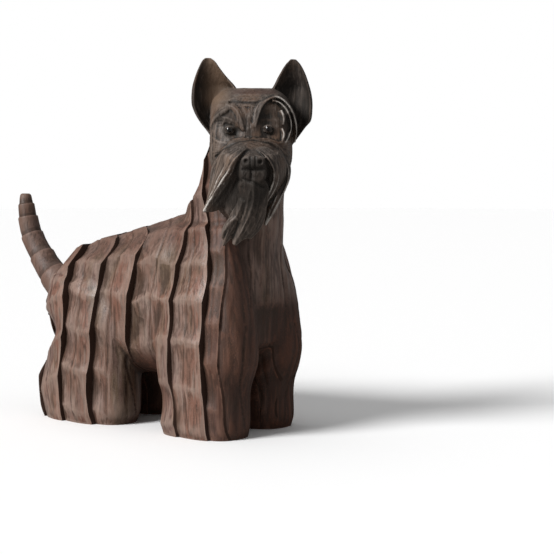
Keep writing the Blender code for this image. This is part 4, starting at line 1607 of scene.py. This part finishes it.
# %% The uneven surface
GRAIN_DEPTH = 1.12 * PART
GRAIN_SIZE = 120.0
GRAIN_STRETCH = 0.3
# The heights in metres between which the waves grow from none to their full depth
SOLE_FADE = (0.001, 0.010)


def uneven_tree():
    tree = new_tree("uneven surface", {
        "Form": "Geometry", "Depth": "Float", "Size": "Float", "Stretch": "Float", "Resin": "Material",
    })

    def added(kind, operation=None):
        node = tree.nodes.new(kind)
        if operation:
            node.operation = operation
        return node

    given, place, normal = (added(kind) for kind in (
        "NodeGroupInput", "GeometryNodeInputPosition", "GeometryNodeInputNormal"
    ))
    axes, grain_place = added("ShaderNodeSeparateXYZ"), added("ShaderNodeCombineXYZ")
    grain = added("ShaderNodeTexNoise")
    grain.inputs["Detail"].default_value = 2
    fade = added("ShaderNodeMapRange")
    fade.inputs["From Min"].default_value, fade.inputs["From Max"].default_value = SOLE_FADE
    low_z, deep, faded = (added("ShaderNodeMath", "MULTIPLY") for _ in range(3))
    centred = added("ShaderNodeMath", "SUBTRACT")
    centred.inputs[1].default_value = 0.5
    push = added("ShaderNodeVectorMath", "SCALE")
    move = added("GeometryNodeSetPosition")
    wire(tree, [
        (place, "Position", axes, 0),
        (axes, "Z", low_z, 0),
        (given, "Stretch", low_z, 1),
        (axes, "X", grain_place, "X"),
        (axes, "Y", grain_place, "Y"),
        (low_z, 0, grain_place, "Z"),
        (grain_place, 0, grain, "Vector"),
        (given, "Size", grain, "Scale"),
        (grain, 0, centred, 0),
        (centred, 0, deep, 0),
        (given, "Depth", deep, 1),
        (axes, "Z", fade, "Value"),
        (deep, 0, faded, 0),
        (fade, "Result", faded, 1),
        (normal, "Normal", push, 0),
        (faded, 0, push, "Scale"),
        (given, "Form", move, "Geometry"),
        (push, 0, move, "Offset"),
    ])
    return finished(tree, move, "Geometry", given)


modifier = figure.modifiers.new("Uneven", "NODES")
modifier.node_group = uneven_tree()
wave_inputs = {"Depth": GRAIN_DEPTH, "Size": GRAIN_SIZE, "Stretch": GRAIN_STRETCH, "Resin": resin}
for name, value in wave_inputs.items():
    set_input(modifier, name, value)
applied(figure)
print("the surface now spans", [round(v, 4) for v in figure.dimensions])

# %% [markdown]
# ## Where stain pools and wears
#
# Stain is brushed on and wiped off: it stays in hollows and comes away from crests. Both
# can be measured on the mesh. A copy of its points is averaged with their neighbours again
# and again, and a point that then lies above its copy is on a crest, below it in a hollow.

# %% Measure crests and hollows
# How often the copy is averaged for each kind of relief
RELIEFS = {"fine relief": 5, "broad relief": 60}


def neighbours_averaged(points, edges, rounds):
    count = np.bincount(edges.ravel(), minlength=len(points))
    for _ in range(rounds):
        total = np.zeros_like(points)
        for axis in range(3):
            total[:, axis] += np.bincount(edges[:, 0], points[edges[:, 1], axis], len(points))
            total[:, axis] += np.bincount(edges[:, 1], points[edges[:, 0], axis], len(points))
        points = (points + total) / (count + 1)[:, None]
    return points


def noted(mesh, name, values):
    note = mesh.attributes.new(name, "FLOAT", "POINT")
    note.data.foreach_set("value", np.asarray(values, np.float32))


points = vertex_values(figure.data, "co")
normals = vertex_values(figure.data, "normal")
edges = np.empty(len(figure.data.edges) * 2, np.int32)
figure.data.edges.foreach_get("vertices", edges)
edges = edges.reshape(-1, 2)
for column, name in enumerate((*NOTES, "hair")):
    if name in figure.data.attributes:
        figure.data.attributes.remove(figure.data.attributes[name])
    noted(figure.data, name, figure_notes[:, column])
for name, rounds in RELIEFS.items():
    height = ((points - neighbours_averaged(points, edges, rounds)) * normals).sum(axis=1) / PART
    noted(figure.data, name, height)
    print(name, "from", round(float(height.min()), 2), "to", round(float(height.max()), 2), "parts")

# %% Measure where the parts of the head lie
# Where the brows' hoods lie in shade: a middle of x, forward and z, and how far the shade reaches
HOODED = [((21, 36, 299), (18, 16, 15)), ((-27, 36, 299), (15, 16, 9))]
HOOD_SHARE = 0.85
LIT_TAN_SHARE = 0.8
ALL_HAIR = 0.9
OFF_THE_HEAD = 9.0
head_place = np.array(head_frame().inverted())
local = ((points - shift) @ head_place[:3, :3].T + head_place[:3, 3]) / PART * (1, -1, 1)
x, forward, z = local.T
aside = np.abs(x)
on_hair = figure_notes[:, -1] > ALL_HAIR


def from_nearest(places):
    """How far each point is from the nearest of some places, in shares of each one's reach."""
    return np.min([np.linalg.norm((local - middle) / reach, axis=1) for middle, reach in places], axis=0)


def from_lines(found):
    """How far each point of the head is from the nearest of some lines."""
    line_places = np.vstack([line[:, :3] for line in found])
    finder = KDTree(len(line_places))
    for index, place in enumerate(line_places):
        finder.insert(place, index)
    finder.balance()
    distance = np.full(len(points), OFF_THE_HEAD)
    distance[on_hair] = [finder.find(place)[2] for place in local[on_hair]]
    return distance


def past_ridge(name):
    """How far to the left of a lock's ridge each point lies, at its height."""
    rows = smooth_rows(LOCKS[name], LOCK_STEPS)[::-1]
    return x - np.interp(z, rows[:, 2], rows[:, 0])


def band(value, low, rise, fall, high):
    """1 from rise to fall, and less towards low and high."""
    return smoothstep(low, rise, value) * smoothstep(high, fall, value)


# %% Note each part of the head, and where shade and light are painted on it
eye_distance = from_nearest([(eye, 1) for eye in EYES])
pupil_distance = from_nearest([((x0, forward0 + EYE_RADIUS, z0), 1) for x0, forward0, z0 in EYES])
nose_distance = from_nearest([(NOSE[:3], NOSE[3:])])
hood = HOOD_SHARE * smoothstep(1.2, 0.6, from_nearest(HOODED))
# Painted shade on the face between the moustache's two ridges, under the nose
inner_face_shade = smoothstep(0, 5, past_ridge("right_moustache")) * smoothstep(0, 3, -past_ridge("left_moustache"))
inner_face_shade *= band(z, 206, 222, 258, 264) * smoothstep(40, 50, forward)
inner_ear = smoothstep(302, 318, z) * smoothstep(14, 32, aside)
# Painted light: the right cheek and the outer side of the right moustache, which face the lamp
lit_cheek = smoothstep(-30, -36, x) * smoothstep(250, 270, z) * smoothstep(298, 280, z)
lit_cheek *= smoothstep(10, 28, forward)
lit_outer_face = smoothstep(1, -3, past_ridge("right_moustache")) * smoothstep(44, 50, forward)
lit_outer_face *= band(z, 208, 226, 258, 268)
# Where the bold crests are rubbed silver, partly as painted highlights on ridges that catch the light
silver_and_glint_places = np.maximum(smoothstep(258, 240, z), smoothstep(20, 27, x) * smoothstep(262, 272, z))
head_notes = {
    "eye": smoothstep(EYE_RADIUS + 0.6, EYE_RADIUS + 0.1, eye_distance),
    "pupil": smoothstep(2.5, 1.9, pupil_distance),
    "nose": smoothstep(1.25, 1.1, nose_distance) * smoothstep(80, 84, forward),
    # Painted shade round the eyes and under the brows' hoods
    "socket": np.maximum(smoothstep(9, 5, eye_distance), hood),
    "inner face shade": inner_face_shade,
    # Painted shade inside the ears' bowls and on their outer parts
    "ear": np.maximum(inner_ear, smoothstep(40, 43, aside) * smoothstep(276, 284, z)),
    # Painted light: the lit inner half of the right ear's bowl is browner
    "lit ear bowl": inner_ear * smoothstep(-50, -36, x) * (x < 0),
    # Painted light on the head's lit side
    "lit tan": LIT_TAN_SHARE * np.maximum(lit_cheek, lit_outer_face),
    "bridge": band(z, 260, 268, 280, 288) * smoothstep(40, 46, forward) * smoothstep(30, 20, aside),
    "top streak": band(z, 320, 322, 324.5, 326) * smoothstep(24, 17, np.abs(x - 3)),
    # Painted shade along the creases carved in the face
    "crease shade": smoothstep(2.4, 1.1, from_lines([line for line, *_ in lines])),
    "bold": smoothstep(1.5, 0.7, from_lines(bold)) * silver_and_glint_places,
}
for name, values in head_notes.items():
    noted(figure.data, name, values)
print(len(head_notes), "notes on the head")

# %% [markdown]
# ## The stained resin
#
# The finish copies old limewood: taupe, rose-brown, olive and mauve patches run up the
# slabs, dark stain fills the cuts and the crests are rubbed pale. Painted shade darkens the
# chest, the underside and the face's hollows, and painted light brightens what faces the lamp.
# The shader layers these from noise in Object coordinates and from the measured values, so
# nothing slides or repeats.

# %% Small helpers for the shader
resin.use_nodes = True
stain = resin.node_tree
shader = stain.nodes["Principled BSDF"]
places = stain.nodes.new("ShaderNodeTexCoord").outputs["Object"]


def feed(socket, value):
    """Links an output to the socket, or sets it to a plain value."""
    if isinstance(value, bpy.types.NodeSocket):
        stain.links.new(value, socket)
    else:
        socket.default_value = value


def calculated(operation, a, b, c=0.0):
    node = stain.nodes.new("ShaderNodeMath")
    node.operation = operation
    for socket, value in zip(node.inputs, (a, b, c)):
        feed(socket, value)
    return node.outputs[0]


def times(a, b):
    return calculated("MULTIPLY", a, b)


def between(value, low, high):
    """A soft step from 0 at low to 1 at high; low may be the larger."""
    node = stain.nodes.new("ShaderNodeMapRange")
    node.interpolation_type = "SMOOTHSTEP"
    feed(node.inputs["Value"], value)
    node.inputs["From Min"].default_value = min(low, high)
    node.inputs["From Max"].default_value = max(low, high)
    node.inputs["To Min"].default_value = 0 if low < high else 1
    node.inputs["To Max"].default_value = 1 if low < high else 0
    return node.outputs["Result"]


def note_of(name):
    node = stain.nodes.new("ShaderNodeAttribute")
    node.attribute_name = name
    return node.outputs["Fac"]


def cloud(scale, stretch=(1, 1, 1), detail=3.0, offset=0.0, distortion=0.0):
    """Noise over the figure, from 0 to 1, in lumps per metre along each axis."""
    mapping = stain.nodes.new("ShaderNodeMapping")
    mapping.inputs["Scale"].default_value = stretch
    mapping.inputs["Location"].default_value = (offset, offset * 2, offset * 3)
    node = stain.nodes.new("ShaderNodeTexNoise")
    node.inputs["Scale"].default_value = scale
    node.inputs["Detail"].default_value = detail
    node.inputs["Distortion"].default_value = distortion
    stain.links.new(places, mapping.inputs["Vector"])
    stain.links.new(mapping.outputs["Vector"], node.inputs["Vector"])
    return node.outputs[0]


def laid_over(below, colour, share):
    """A colour laid over another by its share."""
    node = stain.nodes.new("ShaderNodeMix")
    node.data_type = "RGBA"
    feed(node.inputs[0], share)
    feed(node.inputs[6], below)
    feed(node.inputs[7], colour)
    return node.outputs[2]


def layered(colour, layers):
    """Colours laid one over another, each by its share."""
    for over, share in layers:
        colour = laid_over(colour, over, share)
    return colour


# %% Colours of the stain, and of the painted light and shade
TAUPE = (0.172, 0.098, 0.071, 1)
ROSE = (0.190, 0.090, 0.062, 1)
OLIVE = (0.140, 0.092, 0.060, 1)
MAUVE = (0.160, 0.094, 0.076, 1)
RUSSET = (0.120, 0.038, 0.020, 1)
SHADED = (0.042, 0.015, 0.008, 1)
PALE = (0.330, 0.245, 0.200, 1)
UMBER = (0.040, 0.022, 0.014, 1)
CUT = (0.036, 0.015, 0.008, 1)
LILAC = (0.270, 0.196, 0.168, 1)
HAIR = (0.064, 0.046, 0.036, 1)
HAIR_BROWN = (0.105, 0.062, 0.040, 1)
HAIR_CREST = (0.200, 0.160, 0.135, 1)
HAIR_HOLLOW_AND_SHADE = (0.014, 0.010, 0.007, 1)
EYE_BROWN = (0.034, 0.026, 0.021, 1)
EYE_BLACK = (0.004, 0.003, 0.003, 1)
EAR_LIT_BROWN = (0.160, 0.100, 0.062, 1)
SILVER_AND_GLINT = (0.520, 0.480, 0.440, 1)
HAIR_LIT_TAN = (0.200, 0.142, 0.105, 1)
RUST = (0.150, 0.056, 0.030, 1)

# %% Patches, streaks and grain of the slabs
UPWARD = (1, 1, 0.28)
across = note_of("across")
shade = note_of("shade")
pale = laid_over(PALE, RUST, shade)
rosy = calculated("MULTIPLY_ADD", across, 0.3, cloud(34, UPWARD, offset=0.2))
# Paler towards each slab's rear: lilac stain patches, partly painted light on the slope that faces the lamp
greyed_and_lit = calculated("MULTIPLY_ADD", across, -0.35, cloud(52, (1, 1, 0.5), offset=0.5))
mottle = cloud(240, (1, 1, 0.45), detail=5, offset=9.4)
streak = cloud(420, (1, 1, 0.07), detail=4, distortion=0.3)
pale_streak = cloud(300, (1, 1, 0.09), offset=3.1)
specks = between(cloud(760, detail=2, offset=12.1), 0.56, 0.66)
specks = times(specks, between(cloud(45, UPWARD, offset=13.4), 0.42, 0.58))
specks = times(specks, calculated("MULTIPLY_ADD", shade, 0.45, 0.15))
body_colour = layered(TAUPE, [
    (ROSE, between(rosy, 0.52, 0.8)),
    (OLIVE, between(cloud(30, UPWARD, offset=0.9), 0.52, 0.66)),
    (MAUVE, between(cloud(40, UPWARD, offset=1.7), 0.54, 0.66)),
    # Lilac patches, partly painted light at the slabs' rears
    (LILAC, times(between(greyed_and_lit, 0.3, 0.55), 0.55)),
    (UMBER, times(between(mottle, 0.52, 0.36), 0.42)),
    (RUSSET, times(between(cloud(26, UPWARD, offset=2.4), 0.56, 0.7), 0.4)),
    # Painted shade on the chest, the underside, the inner legs and the back's top, and darker stain on the
    # tail and some slabs
    (SHADED, times(shade, 0.92)),
    (UMBER, times(between(streak, 0.50, 0.62), 0.62)),
    (pale, times(between(pale_streak, 0.53, 0.68), 0.4)),
    (pale, specks),
])

# %% Cuts, hollows and worn edges
front = note_of("front edge")
rear = note_of("rear edge")
fine = note_of("fine relief")
wall = between(calculated("MINIMUM", front, rear), 0.1, 0.35)
patchy = between(cloud(90, offset=4.2), 0.36, 0.6)
hollow = times(between(note_of("broad relief"), -0.5, -2.2), between(rear, 1.0, 0.0))
body_colour = layered(body_colour, [
    (UMBER, times(hollow, 0.5)),
    (UMBER, times(between(fine, -0.04, -0.35), 0.6)),
    (pale, times(between(fine, 0.05, 0.4), 0.35)),
    (pale, times(between(front, 2.6, 3.5), times(patchy, 0.7))),
    (CUT, wall),
])

# %% The darker head
hairs = cloud(360, (1, 1, 0.13), detail=4, offset=11.3, distortion=0.6)
rubbed = times(between(fine, 0.03, 0.22), between(cloud(70, offset=6.1), 0.3, 0.62))
rubbed = times(rubbed, between(note_of("ear"), 1.2, 0.0))
hair_colour = layered(HAIR, [
    (HAIR_BROWN, between(cloud(30, offset=5.3), 0.46, 0.62)),
    (HAIR_HOLLOW_AND_SHADE, between(fine, -0.02, -0.22)),
    (HAIR_HOLLOW_AND_SHADE, times(between(hairs, 0.5, 0.62), 0.5)),
    (HAIR_CREST, times(between(hairs, 0.46, 0.36), 0.35)),
    (HAIR_CREST, times(rubbed, 0.5)),
    # Painted light: lighter tan on the lit cheek and moustache
    (HAIR_LIT_TAN, times(times(note_of("lit tan"), between(fine, -0.3, 0.3)), 0.6)),
    (SHADED, times(note_of("top streak"), 0.7)),
    # Painted shade in the carved creases
    (HAIR_HOLLOW_AND_SHADE, times(note_of("crease shade"), 0.8)),
    (HAIR_HOLLOW_AND_SHADE, times(note_of("bridge"), 0.42)),
])

# %% The face's own tones, its painted shade and light, and the colour as a whole
# Silver rubbed on the bold crests, partly painted highlight
silver_and_glint_share = times(note_of("bold"), between(cloud(75, offset=6.6), 0.34, 0.52))
silver_and_glint_share = times(silver_and_glint_share, between(fine, -0.02, 0.16))
colour = layered(laid_over(body_colour, hair_colour, note_of("hair")), [
    # Painted shade in the eye sockets and under the brows
    (HAIR_HOLLOW_AND_SHADE, times(note_of("socket"), 0.75)),
    # Painted shade between the moustache's ridges
    (HAIR_HOLLOW_AND_SHADE, times(note_of("inner face shade"), 0.84)),
    (HAIR_HOLLOW_AND_SHADE, times(note_of("nose"), 0.35)),
    # Painted shade in the ears
    (HAIR_HOLLOW_AND_SHADE, times(note_of("ear"), 0.5)),
    # Painted light on the lit half of the right ear's bowl
    (EAR_LIT_BROWN, times(note_of("lit ear bowl"), 0.7)),
    (SILVER_AND_GLINT, silver_and_glint_share),
    (HAIR_CREST, times(times(note_of("socket"), between(fine, 0.05, 0.25)), 0.4)),
    (EYE_BROWN, note_of("eye")),
    (EYE_BLACK, note_of("pupil")),
])
feed(shader.inputs["Base Color"], colour)
shader.inputs["Specular IOR Level"].default_value = 0.36

# %% Gloss and fine grain
# How much rougher each part is than the resin's own uneven gloss; the eyes are glossier
ROUGHER = {"shade": 0.22, "hair": 0.12, "inner face shade": 0.2, "socket": 0.25, "ear": 0.2, "eye": -0.7}
BUMP_DISTANCE = 0.0007
BUMP_STRENGTH = 0.5
roughness = calculated("MULTIPLY_ADD", cloud(160, (1, 1, 0.4), offset=7.7), 0.26, 0.27)
roughness = calculated("MULTIPLY_ADD", wall, 0.2, roughness)
for name, share in ROUGHER.items():
    roughness = calculated("MULTIPLY_ADD", note_of(name), share, roughness)
feed(shader.inputs["Roughness"], roughness)
bump = stain.nodes.new("ShaderNodeBump")
bump.inputs["Distance"].default_value = BUMP_DISTANCE
bump.inputs["Strength"].default_value = BUMP_STRENGTH
grain = calculated("MULTIPLY_ADD", cloud(900, detail=2, offset=8.8), 0.6, streak)
grain = calculated("MULTIPLY_ADD", times(hairs, note_of("hair")), -2.4, grain)
grain = times(grain, between(note_of("eye"), 1.0, 0.0))
stain.links.new(grain, bump.inputs["Height"])
stain.links.new(bump.outputs["Normal"], shader.inputs["Normal"])
print("the stain has", len(stain.nodes), "nodes")

# %% [markdown]
# ## Hand the figure over
# ## Put the figure in the part's place
# The figure stands for the imported solid, rides on its only body and takes the stained
# resin. Smooth shading hides the facets, and edges sharper than an angle stay crisp, as
# the slabs' front edges are.

# %% Finish the figure
SHARP_ANGLE = math.radians(42)
HALF_HAIR = 0.5
figure.data.materials.clear()
figure.data.materials.append(resin)
figure.data.shade_smooth()
figure.data.set_sharp_from_angle(angle=SHARP_ANGLE)
sharp = np.empty(len(edges), bool)
figure.data.attributes["sharp_edge"].data.foreach_get("value", sharp)
sharp &= figure_notes[edges, -1].max(axis=1) < HALF_HAIR
figure.data.attributes["sharp_edge"].data.foreach_set("value", sharp)
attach(figure, "root")
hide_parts(NODE)

# %% [markdown]
# ## Floor, light and camera
#
# A small statuette is photographed on a white sweep with one large soft light from the
# upper left, a faint one from above and a weak fill from the right, so that every cut falls
# into shade. The camera stands a little above the back, ahead of the dog's right shoulder.

# %% The floor
FLOOR_RADIUS = 6.0
FLOOR_SIDES = 96
FLOOR_ROUGHNESS = 0.7
floor_shape = bmesh.new()
bmesh.ops.create_circle(floor_shape, cap_ends=True, radius=FLOOR_RADIUS, segments=FLOOR_SIDES)
floor_mesh = bpy.data.meshes.new("floor")
floor_shape.to_mesh(floor_mesh)
floor_shape.free()
floor = new_object("floor", floor_mesh)
FLOOR_WHITE = (0.98, 0.98, 0.98, 1)
FLOOR_BOUNCE = (0.30, 0.29, 0.28, 1)
floor_paint = bpy.data.materials.new("floor white")
floor_paint.use_nodes = True
paint = floor_paint.node_tree
seen = paint.nodes.new("ShaderNodeLightPath")
tone = paint.nodes.new("ShaderNodeMix")
tone.data_type = "RGBA"
tone.inputs[6].default_value = FLOOR_BOUNCE
tone.inputs[7].default_value = FLOOR_WHITE
paint.links.new(seen.outputs["Is Camera Ray"], tone.inputs[0])
paint.links.new(tone.outputs[2], paint.nodes["Principled BSDF"].inputs["Base Color"])
paint.nodes["Principled BSDF"].inputs["Roughness"].default_value = FLOOR_ROUGHNESS
floor_mesh.materials.append(floor_paint)

# %% The camera
VIEW_TURN = math.radians(-52)
VIEW_RISE = math.radians(4.5)
VIEW_DISTANCE = 1.6
VIEW_HALF = 0.277
VIEW_TARGET = Vector((0.0659, -0.1100, 0.1450))
towards_camera = Vector((
    math.sin(VIEW_TURN) * math.cos(VIEW_RISE),
    -math.cos(VIEW_TURN) * math.cos(VIEW_RISE),
    math.sin(VIEW_RISE),
))
camera_data = bpy.data.cameras.new("camera")
camera_data.sensor_width = 36
camera_data.lens = camera_data.sensor_width / 2 * VIEW_DISTANCE / VIEW_HALF
camera = new_object("camera", camera_data)
camera.location = VIEW_TARGET + towards_camera * VIEW_DISTANCE
camera.rotation_euler = (-towards_camera).to_track_quat("-Z", "Y").to_euler()
bpy.context.scene.camera = camera
print("the lens is", round(camera_data.lens, 1), "mm")

# %% The lights
to_right = Vector((math.cos(VIEW_TURN), math.sin(VIEW_TURN), 0))


def far_light(name, side, front, up, width, strength):
    """A soft light from far off, which falls evenly, placed as the camera sees it."""
    data = bpy.data.lights.new(name, "SUN")
    data.angle = math.radians(width)
    data.energy = strength
    light = new_object(name, data)
    light.location = to_right * side + towards_camera * front + Vector((0, 0, up))
    light.rotation_euler = (-light.location).to_track_quat("-Z", "Y").to_euler()


far_light("key light", -1.3, 0.9, 1.0, 24, 3.9)
far_light("top light", -0.2, -0.3, 1.8, 50, 0.5)
far_light("fill light", 1.5, 1.2, 0.5, 50, 0.15)

# %% The studio's white walls
# The walls look white, but throw back less light than that, as they stand far away
WALL_LIGHT = 0.22
world = bpy.data.worlds.new("studio")
bpy.context.scene.world = world
world.use_nodes = True
walls = world.node_tree
seen = walls.nodes.new("ShaderNodeLightPath")
strength = walls.nodes.new("ShaderNodeMapRange")
strength.inputs["To Min"].default_value = WALL_LIGHT
walls.links.new(seen.outputs["Is Camera Ray"], strength.inputs["Value"])
walls.links.new(strength.outputs["Result"], walls.nodes["Background"].inputs["Strength"])
walls.nodes["Background"].inputs["Color"].default_value = (1, 1, 1, 1)
bpy.context.scene.view_settings.view_transform = "Standard"
